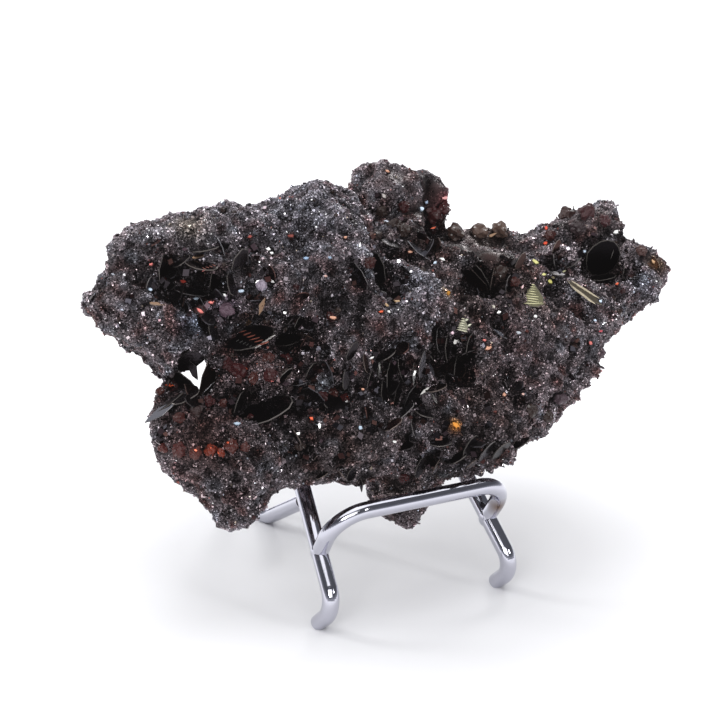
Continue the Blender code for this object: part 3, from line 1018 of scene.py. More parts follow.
# Places in the picture, with a reach in millimetres, a colour and its strength
PATCHES = (
    ((188, 225), 3.0, "#857456", 0.75),
    ((425, 238), 8, "#5c4845", 0.6),
    ((500, 262), 7, "#5e4a47", 0.6),
    ((205, 425), 9, "#604846", 0.65),
    ((285, 372), 7, "#5c4643", 0.6),
    ((536, 300), 6, "#6e5b53", 0.6),
    ((465, 300), 6, "#6e5d56", 0.5),
    ((485, 400), 9, "#66544f", 0.5),
    ((350, 452), 10, "#5e504d", 0.5),
    ((415, 283), 6, "#7c808a", 0.6),
    ((195, 322), 3, "#6f7b8d", 0.8),
    ((640, 278), 5, "#7c828d", 0.6),
    ((300, 205), 14, "#777982", 0.6),
    ((170, 230), 12, "#79777c", 0.5),
    ((240, 368), 3.6, "#5a3834", 0.8),
    ((205, 447), 6, "#5c423e", 0.6),
    ((510, 350), 9, "#68575a", 0.5),
    ((485, 236), 7, "#4e423e", 0.8),
    ((600, 225), 5, "#524642", 0.6),
    ((436, 212), 4.6, "#3a1f20", 0.95),
    ((447, 199), 1.6, "#a8525c", 0.9),
    ((400, 490), 5, "#5c4f48", 0.6),
    ((448, 292), 1.1, "#8a6638", 0.8),
    ((456, 424), 1.3, "#d08a2c", 1.0),
    ((323, 386), 2.0, "#8f959d", 0.9),
    ((226, 308), 3.0, "#6a5c6c", 0.8),
    ((657, 264), 1.8, "#8a7458", 0.6),
)


def hollow_share(points):
    """How deep each point lies in a hollow, from 0 on the outer crust to 1."""
    turned = np.array(stone_place.inverted())
    local = (points @ turned[:3, :3].T + turned[:3, 3]) / MM
    share = np.zeros(len(points))
    for ball in HOLLOWS + SMALL_HOLLOWS:
        middle, size = np.array(ball[:3]), np.array(ball[3:]) * HOLLOW_REACH
        share = np.maximum(share, 1 - np.linalg.norm((local - middle) / size, axis=1))
    return np.clip(share * 3, 0, 1)


def crust_tint_with_painted_shade(points, height):
    """The crust's colour at each point in linear red, green and blue, with painted shade in creases and
    painted light on crests.
    """
    violet, blue, brown = (np.array(colour(code)[:3]) for code in (VIOLET_GREY, BLUE_GREY, RED_BROWN))
    waves = np.array([noise.noise_vector(Vector(point) / (PATCH_WIDTH * MM)) for point in points])
    tint = violet + (blue - violet) * np.clip(waves[:, :1] * 1.6, 0, 1)
    tint = tint + (brown - tint) * np.clip(waves[:, 1:2] * 1.8, 0, 1)
    tint = tint * (1 + CLUSTER_SHADE * waves[:, 2:3])
    tint = tint + (np.array(colour(BARE)[:3]) - tint) * smooth_share(points)[:, None] * 0.9
    for middle, radius, code, strength in patches:
        tint = tint + (np.array(colour(code)[:3]) - tint) * near(points, middle, radius) * strength
    # Painted shade and painted light at the listed spots
    for middle, radius, factor in painted_shade_spots:
        tint = tint * (1 + (factor - 1) * near(points, middle, radius))
    # Painted shade: the tint is darkened the deeper a point lies in a hollow
    tint = tint * (1 - HOLLOW_PAINTED_SHADE * hollow_share(points)[:, None])
    # Painted shade in creases and painted light on crests, by how far a point stands out
    return tint * np.clip(1 + CREASE_PAINTED_SHADE * height / (CREASE_HEIGHT * MM), 0.38, 1.5)[:, None]


def crease_height(mesh, points):
    """How far each vertex stands out from the crust smoothed over a millimetre or two."""
    normals = np.zeros(len(points) * 3, np.float32)
    mesh.vertices.foreach_get("normal", normals)
    return ((points - smoothed(mesh, points, SMOOTHING)) * normals.reshape(-1, 3)).sum(1)


def set_tint(mesh, tint, polish):
    """Stores a linear colour and a polish from 0 to 1 for each vertex, which the materials read."""
    rows = np.ones((len(mesh.vertices), 4), np.float32)
    rows[:, :3] = tint
    rows[:, 3] = polish
    mesh.attributes.new("tint", "FLOAT_COLOR", "POINT").data.foreach_set("color", rows.ravel())


# Light that finds its way between thousands of small faces keeps the deepest hollows from being black.
# The render stops before it does, so a trace of glow stands in for it.
HOLLOW_GLOW = 0.0048
GLOW_TINT = (1.0, 0.92, 0.94, 1.0)


def hematite_material(name, metallic):
    """A new material with its shader, and the trace of glow."""
    made = bpy.data.materials.new(name)
    made.use_nodes = True
    shader = made.node_tree.nodes["Principled BSDF"]
    shader.inputs["Metallic"].default_value = metallic
    shader.inputs["Emission Color"].default_value = GLOW_TINT
    shader.inputs["Emission Strength"].default_value = HOLLOW_GLOW
    return made, made.node_tree, shader


def druse_material(name, grain_width, grain_tilt, roughness):
    """Mirror-like grains, each with its own tilt, brightness and polish, over the piece's tint with its
    painted shade. The tint's alpha says how grainy the crust is at a place."""
    made, tree, shader = hematite_material(name, 1.0)
    place = add(tree, "TexCoord")
    grains = add(tree, "TexVoronoi", {"Scale": 1 / (grain_width * MM)}, {"Vector": place.outputs["Object"]})
    even = {"operation": "SUBTRACT", 1: (0.5, 0.5, 0.5)}
    lean = add(tree, "VectorMath", even, {0: grains.outputs["Color"]})
    tint = add(tree, "Attribute", {"attribute_name": "tint"})
    tilt = add(tree, "MapRange", {3: 0.2, 4: grain_tilt}, {0: tint.outputs["Alpha"]})
    lean = add(tree, "VectorMath", {"operation": "SCALE"}, {0: lean.outputs[0], "Scale": tilt.outputs[0]})
    face = add(tree, "NewGeometry")
    lean = add(tree, "VectorMath", {"operation": "ADD"}, {0: face.outputs["Normal"], 1: lean.outputs[0]})
    lean = add(tree, "VectorMath", {"operation": "NORMALIZE"}, {0: lean.outputs[0]})
    shares = add(tree, "SeparateColor", links={0: grains.outputs["Color"]})
    bright = add(tree, "ValToRGB", links={0: shares.outputs[0]})
    ramp = bright.color_ramp
    ramp.elements[0].color = (0.2, 0.2, 0.2, 1)
    ramp.elements[1].color = (4, 4, 4, 1)
    for place_on, value in ((0.3, 0.55), (0.7, 1.1), (0.93, 1.9)):
        ramp.elements.new(place_on).color = (value, value, value, 1)
    mixed = add(tree, "Mix", {"data_type": "RGBA", "blend_type": "MULTIPLY"}, {0: tint.outputs["Alpha"]})
    tree.links.new(tint.outputs["Color"], mixed.inputs[6])
    tree.links.new(bright.outputs["Color"], mixed.inputs[7])
    tree.links.new(mixed.outputs[2], shader.inputs["Base Color"])
    polish = add(tree, "MapRange", {"To Min": roughness[0], "To Max": roughness[1]}, {0: shares.outputs[1]})
    tree.links.new(polish.outputs[0], shader.inputs["Roughness"])
    tree.links.new(lean.outputs[0], shader.inputs["Normal"])
    return made


crust_tree = tree_of(crust_mesh)
patches = found_on_crust(PATCHES)
painted_shade_spots = found_on_crust(PAINTED_SHADE_SPOTS)
crest = crease_height(crust_mesh, points)
# The crust under the grains is painted darker, a painted shade between them
set_tint(crust_mesh, crust_tint_with_painted_shade(points, crest) * UNDER_GRAIN_PAINTED_SHADE, 1 - smooth_share(points))
# Druse: dark metal that glitters, each grain with a mirror of its own, from clean to dull
druse = druse_material("hematite druse, grown in place", GRAIN_WIDTH, GRAIN_TILT, (0.2, 0.5))
crust_mesh.materials.clear()
crust_mesh.materials.append(druse)
crust = bpy.data.objects.new("crystal_crust", crust_mesh)
bpy.context.scene.collection.objects.link(crust)
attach(crust, "root")
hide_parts("hematite_specimen")


# The druse: tens of thousands of hematite crystals that grew out of the crust, fewer on the back where
# it broke off the rock. Most are the corners of grains 0.4 mm wide; some are whole blocks, or thin
# flakes on edge. Each has its own tilt and polish, and a few clean ones glitter.
CORNER_COUNT = 98000
CORNER_SIZE = (0.40, 0.22, 0.26, 0.66)
GRAIN_COUNT = 9000
GRAIN_SIZE = (0.46, 0.28, 0.32, 0.95)
FLAKE_SHARE = 0.3
GRAIN_SPREAD = 0.3
GRAIN_UNLIKE = 0.52
CORNER_PIECES = 2
GRAIN_ROOM = 0.45
BACK_SHARE = 0.4
CLEAN_SHARE = 0.075
CLEAN_GAIN = 2.5
CLEAN_LIFT = 0.12
ODD_TINTS = (("#5a3733", 0.014), ("#8c8f98", 0.01), ("#857a70", 0.005))


def shape_arrays(shape):
    """A small crystal's points, triangles and the triangles on its rim, ready to be repeated."""
    bmesh.ops.recalc_face_normals(shape, faces=shape.faces)
    bmesh.ops.triangulate(shape, faces=shape.faces)
    shape.verts.index_update()
    points = np.array([vert.co for vert in shape.verts])
    faces = np.array([[vert.index for vert in face.verts] for face in shape.faces])
    rim = np.array([face.material_index for face in shape.faces])
    shape.free()
    return points, faces, rim


def blocky_crystal(squash):
    """A cube pulled along the line between two corners, the shape of most hematite grains."""
    shape = bmesh.new()
    bmesh.ops.create_cube(shape, size=0.78)
    onto_corner = Vector((1, 1, 1)).to_track_quat("Z", "Y").to_matrix().to_4x4().inverted()
    bmesh.ops.transform(shape, matrix=Matrix.Diagonal((1, 1, squash, 1)) @ onto_corner, verts=shape.verts)
    return shape_arrays(shape)


def corner_crystal(height):
    """A three-sided corner of a grain whose other end is in the crust."""
    shape = bmesh.new()
    bmesh.ops.create_cone(shape, cap_ends=True, segments=3, radius1=0.62, radius2=0, depth=height)
    return shape_arrays(shape)


def flake_crystal(width, thickness):
    """A thin slanting flake."""
    shape = bmesh.new()
    bmesh.ops.create_cube(shape, size=1)
    slant = Matrix(((1, 0.35, 0, 0), (0, width, 0, 0), (0, 0.1, thickness, 0), (0, 0, 0, 1)))
    bmesh.ops.transform(shape, matrix=slant, verts=shape.verts)
    return shape_arrays(shape)


def unit(rows):
    return rows / np.linalg.norm(rows, axis=1)[:, None]


def turned_to(face_way, long_way):
    """Turns that bring a crystal's Z to face_way and its X as near as can be to long_way."""
    z = unit(face_way)
    x = unit(long_way - (long_way * z).sum(1)[:, None] * z)
    return np.stack([x, np.cross(z, x), z], axis=2)


def joined(name, shapes, which, places, turns, sizes, tints):
    """One mesh of many small crystals, each a turned and stretched copy of one of the shapes."""
    rows, faces, rims, paints = [], [], [], []
    start = 0
    for index, (points, triangles, rim) in enumerate(shapes):
        chosen = np.flatnonzero(which == index)
        stretched = points[None] * sizes[chosen][:, None]
        placed = np.einsum("mij,mnj->mni", turns[chosen], stretched) + places[chosen][:, None]
        rows.append(placed.reshape(-1, 3))
        steps = start + np.arange(len(chosen))[:, None, None] * len(points)
        faces.append((triangles[None] + steps).reshape(-1, 3))
        rims.append(np.tile(rim, len(chosen)))
        paints.append(np.repeat(tints[chosen], len(points), axis=0))
        start += len(chosen) * len(points)
    mesh = bpy.data.meshes.new(name)
    mesh.from_pydata(np.concatenate(rows).tolist(), [], np.concatenate(faces).tolist())
    mesh.polygons.foreach_set("material_index", np.concatenate(rims).astype(np.int32))
    paint = np.concatenate(paints)
    set_tint(mesh, paint[:, :3], paint[:, 3])
    return mesh


def crust_places(count, chance):
    """Even random places on the crust, with the way that it faces and how far it stands out there."""
    crust_mesh.calc_loop_triangles()
    corners = np.zeros(len(crust_mesh.loop_triangles) * 3, np.int32)
    crust_mesh.loop_triangles.foreach_get("vertices", corners)
    a, b, c = (points[corners.reshape(-1, 3)[:, corner]].astype(float) for corner in range(3))
    across = np.cross(b - a, c - a)
    area = np.linalg.norm(across, axis=1)
    backwards = (across @ np.array(stone_place)[:3, 1]) / area
    area = area * (1 - (1 - BACK_SHARE) * np.clip((backwards - 0.1) * 2, 0, 1))
    area = area * (1 - 0.95 * smooth_share((a + b + c) / 3))
    picked = chance.choice(len(area), count, p=area / area.sum())
    u, v = chance.random((2, count, 1))
    over = u + v > 1
    u, v = np.where(over, 1 - u, u), np.where(over, 1 - v, v)
    places = a[picked] + (b - a)[picked] * u + (c - a)[picked] * v
    return places, unit(across[picked]), crest[corners.reshape(-1, 3)[picked, 0]]


RIM_PAINTED_HIGHLIGHT = "#8d8781"


def facet_material(name, roughness, metallic, ior=None, lighter=0.0):
    """Plain crystal faces that take their colour and polish from the piece; lighter mixes in a painted
    highlight.
    """
    made, tree, shader = hematite_material(name, metallic)
    tint = add(tree, "Attribute", {"attribute_name": "tint"})
    lit = add(tree, "Mix", {"data_type": "RGBA", 0: lighter})
    lit.inputs[7].default_value = colour(RIM_PAINTED_HIGHLIGHT)
    tree.links.new(tint.outputs["Color"], lit.inputs[6])
    tree.links.new(lit.outputs[2], shader.inputs["Base Color"])
    polish = add(tree, "MapRange", {3: roughness[0], 4: roughness[1]}, {0: tint.outputs["Alpha"]})
    tree.links.new(polish.outputs[0], shader.inputs["Roughness"])
    if ior:
        shader.inputs["IOR"].default_value = ior
        shader.inputs["Specular IOR Level"].default_value = 0.3
    return made


def add_piece(name, mesh, *materials):
    for material in materials:
        mesh.materials.append(material)
    made = bpy.data.objects.new(name, mesh)
    bpy.context.scene.collection.objects.link(made)
    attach(made, "root")
    return made


def grain_tints(places, height, chance):
    """The crust's colour with its painted shade and light at each grain, a chance of brightness and warmth,
    and a few odd ones.
    """
    count = len(places)
    tint = crust_tint_with_painted_shade(places, height)
    level = tint.mean(1)[:, None] / np.mean(colour(VIOLET_GREY)[:3])
    draw = chance.random(count)
    for code, share in ODD_TINTS:
        odd = (draw < share)[:, None]
        tint = np.where(odd, np.array(colour(code)[:3]) * level * 1.25, tint)
        draw = np.where(odd[:, 0], 2, draw - share)
    warmth = chance.normal(0, 0.015, (count, 1))
    tint = tint * chance.lognormal(0.02, GRAIN_UNLIKE, count)[:, None]
    tint = tint * (1 + np.concatenate([warmth, -warmth * 0.15, -warmth * 0.8], 1))
    clean = chance.random((count, 1)) < CLEAN_SHARE
    polish = np.where(clean, 0, 0.5 + 0.5 * chance.random((count, 1)))
    tint = np.where(clean, tint * CLEAN_GAIN + CLEAN_LIFT * np.clip(level * 1.4, 0, 1), tint)
    return np.concatenate([np.clip(tint, 0.002, 0.95), polish], 1)


def grow_grains(name, count, limits, pieces, shapes, flakes, chance):
    """Grains of the given shapes all over the crust. The last of the shapes, as many as flakes says,
    stand on edge."""
    places, outward, height = crust_places(count, chance)
    kept = wire_reach(places)[0] > (ROD_RADIUS + WIRE_ROOM + GRAIN_ROOM) * MM
    places, outward, height = places[kept], outward[kept], height[kept]
    count = len(places)
    middle, spread, least, most = limits
    size = np.clip(chance.lognormal(math.log(middle), spread, count), least, most)[:, None] * MM
    flake = chance.random(count) < (FLAKE_SHARE if flakes else 0)
    loose = chance.normal(0, 1, (count, 3))
    lean = outward + loose * GRAIN_SPREAD
    side = unit(np.cross(outward, chance.normal(0, 1, (count, 3))))
    facing = np.where(flake[:, None], side + loose * 0.35, lean)
    along = np.where(flake[:, None], lean, side)
    plain = len(shapes) - flakes
    which = chance.integers(0, plain, count)
    if flakes:
        which = np.where(flake, plain + chance.integers(0, flakes, count), which)
    tint = grain_tints(places, height, chance)
    turns = turned_to(facing, along)
    sizes = np.repeat(size, 3, axis=1) * chance.uniform(0.8, 1.2, (count, 3))
    places = places + outward * size * np.where(flake[:, None], -0.12, 0.06)
    for piece, rows in enumerate(np.array_split(np.argsort(places[:, 0]), pieces)):
        parts = (column[rows] for column in (which, places, turns, sizes, tint))
        mesh = joined(f"{name}_{piece + 1}", shapes, *parts)
        add_piece(mesh.name, mesh, mirror_faces)


chance = np.random.default_rng(CRUST_SEED)
# Crystal faces: flat dark mirrors. A few are clean enough to flash, the rest are satin.
mirror_faces = facet_material("hematite crystal faces, bright and clean", (0.06, 0.5), 1.0)
corners = (corner_crystal(0.32), corner_crystal(0.5))
blocks = (blocky_crystal(0.85), blocky_crystal(1.15), flake_crystal(0.8, 0.24), flake_crystal(0.55, 0.3))
grow_grains("grain_corners", CORNER_COUNT, CORNER_SIZE, CORNER_PIECES, corners, 0, chance)
grow_grains("grain_blocks", GRAIN_COUNT, GRAIN_SIZE, 1, blocks, 2, chance)


# The plates: flat hematite crystals 1 to 9 mm long and a few tenths thick that stand in the hollows,
# black and smooth with thin bright rims. The large ones are set one by one: place in the picture,
# the way the long side runs there, the turn away from the viewer, length, width, shape and colour.
PLATE_THICKNESS = 0.24
PLATE_SHAPES = ("round", "six_sided", "blade", "broken", "spike", "fan")
BLACK = "#2b272a"
SLATE = "#454349"
GREY = "#86868e"
BROWN = "#3c2a27"
# Pale blades: a painted highlight on blades whose faces catch the light
PAINTED_HIGHLIGHT_GREY = "#b4b2ae"
TAN = "#7d6552"
PLATES = (
    # the upper left hollow
    (203, 266, -10, -62, 6.4, 4.0, "round", "#241819"),
    (222, 250, -70, 62, 5.2, 1.7, "blade", GREY),
    (217, 278, 75, 50, 6.5, 3.4, "broken", BLACK),
    (165, 272, 82, 66, 7.0, 3.6, "six_sided", BLACK),
    (190, 292, -12, -60, 7.5, 3.2, "broken", SLATE),
    (157, 304, -5, -50, 3.4, 0.9, "broken", TAN),
    (240, 262, 60, 55, 5.5, 3.4, "six_sided", BLACK),
    (150, 284, 70, 62, 3.0, 1.6, "broken", SLATE),
    (198, 257, 14, -40, 2.8, 0.9, "broken", TAN),
    (182, 262, 35, -60, 4.5, 2.6, "broken", BLACK),
    (232, 285, 100, 60, 5.0, 3.0, "broken", BLACK),
    (205, 250, 10, -70, 6.0, 2.5, "broken", BLACK),
    # around the large round plate
    (250, 338, 16, -50, 10.8, 7.0, "round", BLACK),
    (286, 339, 8, -58, 6.6, 5.6, "round", BLACK),
    (214, 331, 100, 60, 5.0, 3.2, "broken", BLACK),
    (262, 306, 70, 40, 3.8, 1.5, "spike", TAN),
    (248, 323, 25, -25, 1.8, 1.2, "broken", TAN),
    (232, 314, 65, 66, 3.6, 2.0, "broken", SLATE),
    (300, 322, 60, 60, 4.0, 2.4, "broken", BLACK),
    # around the gap at the left
    (171, 384, 76, 68, 5.0, 2.2, "broken", BROWN),
    (161, 412, 34, -42, 7.6, 2.4, "blade", "#57575d"),
    (168, 404, 36, -66, 7.4, 1.8, "blade", BLACK),
    (206, 393, 53, 52, 5.8, 1.5, "blade", GREY),
    (186, 398, 25, -60, 6.4, 3.0, "broken", BLACK),
    # the hollows below the round plate
    (266, 410, 22, -52, 12.0, 7.0, "round", BLACK),
    (240, 404, 70, 66, 6.0, 3.0, "broken", BLACK),
    (336, 404, -32, -50, 6.8, 5.2, "round", BLACK),
    (299, 384, 10, -55, 3.6, 1.2, "blade", GREY),
    (284, 377, 45, 58, 5.0, 2.0, "broken", BLACK),
    (312, 372, 60, 50, 4.4, 2.6, "broken", BLACK),
    (346, 380, 85, 55, 4.6, 2.4, "broken", BLACK),
    (296, 436, -60, 70, 4.0, 2.4, "broken", BROWN),
    # the valley and the middle
    (357, 276, -58, 48, 7.4, 4.0, "broken", SLATE),
    (378, 268, -75, 60, 7.0, 4.4, "six_sided", BLACK),
    (419, 251, -40, -56, 6.6, 2.2, "blade", GREY),
    (391, 244, -20, -60, 5.0, 2.8, "broken", BLACK),
    (386, 355, 30, -62, 4.6, 3.4, "round", BLACK),
    (366, 364, 100, 62, 4.2, 2.0, "broken", BROWN),
    (352, 352, 60, 52, 4.6, 2.6, "broken", BLACK),
    (414, 373, 88, 30, 5.4, 1.0, "blade", PAINTED_HIGHLIGHT_GREY),
    (379, 367, 89, 40, 4.6, 0.7, "blade", PAINTED_HIGHLIGHT_GREY),
    (390, 374, 82, 60, 7.8, 3.0, "blade", BLACK),
    (401, 366, 98, 62, 7.0, 3.0, "blade", BLACK),
    (422, 366, 80, 60, 6.4, 2.8, "blade", SLATE),
    (431, 372, 104, 35, 4.6, 1.7, "blade", GREY),
    (398, 392, 75, 64, 6.4, 3.0, "blade", BLACK),
    (411, 395, 60, 60, 6.0, 2.6, "blade", SLATE),
    (384, 395, 95, 62, 6.4, 2.8, "blade", BLACK),
    (370, 384, 80, 62, 6.0, 2.6, "blade", BLACK),
    (436, 388, 16, -66, 4.6, 3.0, "round", BROWN),
    (425, 391, 40, -30, 2.6, 0.7, "blade", PAINTED_HIGHLIGHT_GREY),
    (434, 398, -60, 30, 2.6, 0.6, "blade", PAINTED_HIGHLIGHT_GREY),
    (404, 412, 40, -58, 5.6, 2.4, "broken", SLATE),
    (392, 425, 30, -50, 5.0, 2.4, "broken", BROWN),
    (413, 424, 95, 62, 5.0, 1.8, "blade", SLATE),
    (424, 414, -20, -60, 4.6, 2.2, "broken", BLACK),
    (438, 340, 92, 60, 5.4, 2.0, "blade", SLATE),
    (447, 348, 88, 62, 5.6, 2.4, "blade", BLACK),
    (430, 348, 100, 60, 5.0, 2.4, "blade", BLACK),
    (458, 366, 80, 60, 6.0, 3.6, "broken", BLACK),
    # the right half of the valley
    (468, 276, -42, 52, 11.5, 4.4, "broken", BROWN),
    (478, 273, -52, 60, 8.5, 3.0, "blade", BLACK),
    (508, 288, 80, 58, 5.6, 2.8, "broken", SLATE),
    (493, 280, 78, 66, 6.6, 2.2, "broken", BROWN),
    (486, 292, 84, 60, 6.0, 2.4, "broken", BLACK),
    (533, 296, -4, -40, 6.2, 6.6, "fan", "#565442"),
    (463, 325, -8, -40, 3.2, 3.6, "fan", "#6b6a5c"),
    (457, 339, 60, 25, 3.0, 1.2, "broken", PAINTED_HIGHLIGHT_GREY),
    (556, 274, -10, -62, 4.0, 2.0, "broken", BLACK),
    (555, 264, 100, 68, 4.4, 2.0, "blade", SLATE),
    (491, 236, 26, -30, 3.0, 0.8, "blade", TAN),
    (520, 262, 60, 55, 4.6, 2.6, "broken", BROWN),
    (470, 345, 75, 60, 5.0, 3.0, "broken", BLACK),
    (500, 334, -35, -40, 3.6, 1.0, "blade", GREY),
    # the right end
    (584, 293, -35, -36, 9.6, 2.2, "blade", "#6e6658"),
    (602, 258, 45, 27, 9.0, 8.0, "round", "#0f0d0f"),
    (614, 256, 80, 62, 5.6, 2.0, "blade", SLATE),
    (602, 278, 8, -60, 6.4, 3.2, "broken", BLACK),
    (572, 264, 32, -68, 5.0, 2.2, "blade", BLACK),
    (624, 274, 85, 62, 4.0, 2.0, "broken", BLACK),
    (655, 262, -58, 40, 3.6, 1.4, "broken", TAN),
    (556, 248, 65, 45, 4.0, 2.0, "broken", BROWN),
    # the underside and the spikes along the outline
    (470, 446, 58, 60, 5.4, 3.4, "round", BLACK),
    (487, 451, 50, 66, 5.4, 3.2, "round", SLATE),
    (455, 458, 25, -55, 5.4, 3.4, "broken", BLACK),
    (501, 450, 42, 64, 5.0, 3.2, "round", BLACK),
    (520, 443, 32, -66, 4.6, 2.8, "round", BLACK),
    (441, 442, 4, -52, 4.6, 2.8, "round", BLACK),
    (420, 468, 68, 55, 5.0, 3.0, "broken", BLACK),
    (437, 466, 60, 68, 4.4, 2.0, "broken", BROWN),
    (452, 471, 40, -55, 4.6, 3.0, "broken", BLACK),
    (472, 464, 40, 66, 4.0, 2.0, "broken", BROWN),
    (361, 484, -84, 40, 3.6, 1.1, "spike", SLATE),
    (340, 474, -50, 66, 3.4, 1.8, "broken", BROWN),
    (322, 475, 30, -66, 3.2, 2.2, "broken", BROWN),
    (352, 474, 60, 50, 3.8, 2.6, "broken", BLACK),
    (92, 300, 60, 66, 2.2, 1.2, "broken", SLATE),
)
# Plates that grew into the see-through gap and leave it a narrow V, as above
GAP_PLATES = (
    (192, 369, -62, 20, 5.4, 2.2, "spike", BLACK),
    (193, 359, 34, 25, 9.0, 4.2, "broken", BLACK),
    (185, 386, -45, 25, 8.0, 3.6, "broken", BLACK),
    (209, 378, 73, 25, 9.0, 3.2, "broken", BROWN),
)
RIB_DEPTH = 0.1
SHEAF_PLATES = 4
SHEAF_LENGTH = (2.2, 6.0)
LOOSE_PLATES = 500
LOOSE_LENGTH = (0.8, 1.6)
HOLLOW_BLOCKS = 34
CLEAR_PLATE = 8.0
WALL_REACH = 12
HOLLOW_BLOCK_SIZE = (0.7, 2.0)


def plate_shape(sides, point, uneven, chance, taper=0.0):
    """A plate one unit long and wide, with a bevelled rim. A high point draws its ends out, and a high
    taper makes one side narrow."""
    shape = bmesh.new()
    thin = 0.1
    bmesh.ops.create_circle(shape, cap_ends=True, segments=sides, radius=0.5)
    for vert in shape.verts:
        vert.co *= 1 + chance.uniform(-uneven, uneven)
        vert.co.y *= 1 - point * abs(vert.co.x) * 2
        vert.co.x *= 1 - taper * (vert.co.y + 0.5)
    grown = bmesh.ops.extrude_face_region(shape, geom=shape.faces[:])["geom"]
    top = [piece for piece in grown if isinstance(piece, bmesh.types.BMVert)]
    bmesh.ops.translate(shape, verts=top, vec=(0, 0, thin))
    bmesh.ops.translate(shape, verts=shape.verts, vec=(0, 0, -thin / 2))
    shape.normal_update()
    caps = [face for face in shape.faces if abs(face.normal.z) > 0.5]
    rim = list({edge for face in caps for edge in face.edges})
    for face in shape.faces:
        face.material_index = 0 if face in caps else 1
    made = bmesh.ops.bevel(
        shape,
        geom=rim,
        offset=0.022,
        segments=1,
        profile=0.5,
        affect="EDGES",
        material=-1,
    )
    for face in made["faces"]:
        face.material_index = 1
    bmesh.ops.scale(shape, verts=shape.verts, vec=(1, 1, 1 / thin))
    return shape_arrays(shape)


def plate_material(name, roughness, ribs):
    """Growth faces of a plate: a dark mirror crossed by fine ribs that catch the light."""
    made, tree, shader = hematite_material(name, 1.0)
    place = add(tree, "TexCoord")
    tint = add(tree, "Attribute", {"attribute_name": "tint"})
    fine = {"Scale": 1 / (ribs * MM), "Detail": 2.0}
    wave = add(tree, "TexNoise", fine, {"Vector": place.outputs["Object"]})
    bump = add(tree, "Bump", {"Strength": 0.25, "Distance": RIB_DEPTH * MM}, {"Height": wave.outputs[0]})
    tree.links.new(tint.outputs["Color"], shader.inputs["Base Color"])
    polish = add(tree, "MapRange", {3: roughness[0], 4: roughness[1]}, {0: tint.outputs["Alpha"]})
    tree.links.new(polish.outputs[0], shader.inputs["Roughness"])
    tree.links.new(bump.outputs[0], shader.inputs["Normal"])
    return made


view = np.array(camera.rotation_euler.to_matrix())
view_right, view_up, view_back = view[:, 0], view[:, 1], view[:, 2]


def in_gap(px, py):
    """The place on a line of sight that is as far away as the middle of the gap."""
    start, aim = picture_ray(px, py)
    middle = stone_place @ (Vector(HOLE_MIDDLE) * MM)
    back = Vector(view_back)
    return start + aim * (middle - start).dot(back) / aim.dot(back)


plate_planes = {}


def set_plates():
    """The hand-set plates: shapes, places, turns, sizes and tints."""
    rows = []
    for count, (px, py, run, turn, length, width, kind, code) in enumerate(PLATES + GAP_PLATES):
        run, turn = math.radians(run), math.radians(turn)
        hit = on_crust(px, py)
        if count >= len(PLATES) or hit is None:
            place = np.array(in_gap(px, py))
        else:
            lift = (0.1 + 0.42 * width * abs(math.sin(turn))) * MM
            place = np.array(hit[0]) + view_back * lift / max(np.array(hit[1]) @ view_back, 0.6)
        along = view_right * math.cos(run) + view_up * math.sin(run)
        facing = view_back * math.cos(turn) + np.cross(along, view_back) * math.sin(turn)
        plate_planes[px, py] = (place, facing, length)
        rows.append((PLATE_SHAPES.index(kind), place, facing, along, length, width, colour(code)[:3]))
    return rows


def sheaves(chance):
    """Plates on the walls of each hollow, most of them turned much the same way."""
    rows = []
    turn = np.array(stone_place)[:3, :3]
    for x, y, z, wide, deep, high in HOLLOWS + SMALL_HOLLOWS:
        middle = stone_place @ (Vector((x, y, z)) * MM)
        shared = turn @ unit(chance.normal(0, 1, (1, 3)))[0]
        for _ in range(int(SHEAF_PLATES * (wide * high) ** 0.5 / 5)):
            aim = turn @ unit(chance.normal(0, 1, (1, 3)) + np.array([[0, 0.4, 0]]))[0]
            place, normal, _, away = crust_tree.ray_cast(middle, Vector(aim))
            if place is None or away > WALL_REACH * MM or hides_plate(np.array(place)):
                continue
            length = chance.uniform(*SHEAF_LENGTH)
            width = length * chance.uniform(0.35, 0.95)
            facing = on_edge(shared + unit(chance.normal(0, 1, (1, 3)))[0] * 0.55)
            along = np.array(normal) + unit(chance.normal(0, 1, (1, 3)))[0] * 0.5
            code = (BLACK, BLACK, SLATE, SLATE, BROWN, "#4a302d")[chance.integers(0, 6)]
            lifted = np.array(place) + np.array(normal) * length * 0.25 * MM
            rows.append((chance.integers(0, 4), lifted, facing, along, length, width, colour(code)[:3]))
    return rows


def hides_plate(place):
    """Whether a place in a hollow lies in front of one of the large plates, or on it."""
    for middle, _, length in plate_planes.values():
        aside = place - middle
        aside = aside - view_back * (aside @ view_back)
        if length > CLEAR_PLATE and np.linalg.norm(aside) < length * 0.5 * MM:
            return True
    return False


def on_edge(facing):
    """A plate's way turned so that the viewer sees more of its rim than of its face."""
    facing = facing / np.linalg.norm(facing)
    share = facing @ view_back
    aside = facing - view_back * share
    return aside / np.linalg.norm(aside) + view_back * min(max(share, -0.5), 0.5)


def hollow_places(many, chance):
    """Places on the walls of each hollow, with the way that the wall faces there."""
    turn = np.array(stone_place)[:3, :3]
    for x, y, z, wide, deep, high in HOLLOWS + SMALL_HOLLOWS:
        middle = stone_place @ (Vector((x, y, z)) * MM)
        for _ in range(int(many * (wide * high) ** 0.5 / 5)):
            aim = turn @ unit(chance.normal(0, 1, (1, 3)) + np.array([[0, 0.4, 0]]))[0]
            place, normal, _, away = crust_tree.ray_cast(middle, Vector(aim))
            if place is not None and away < WALL_REACH * MM and not hides_plate(np.array(place)):
                yield np.array(place), np.array(normal)


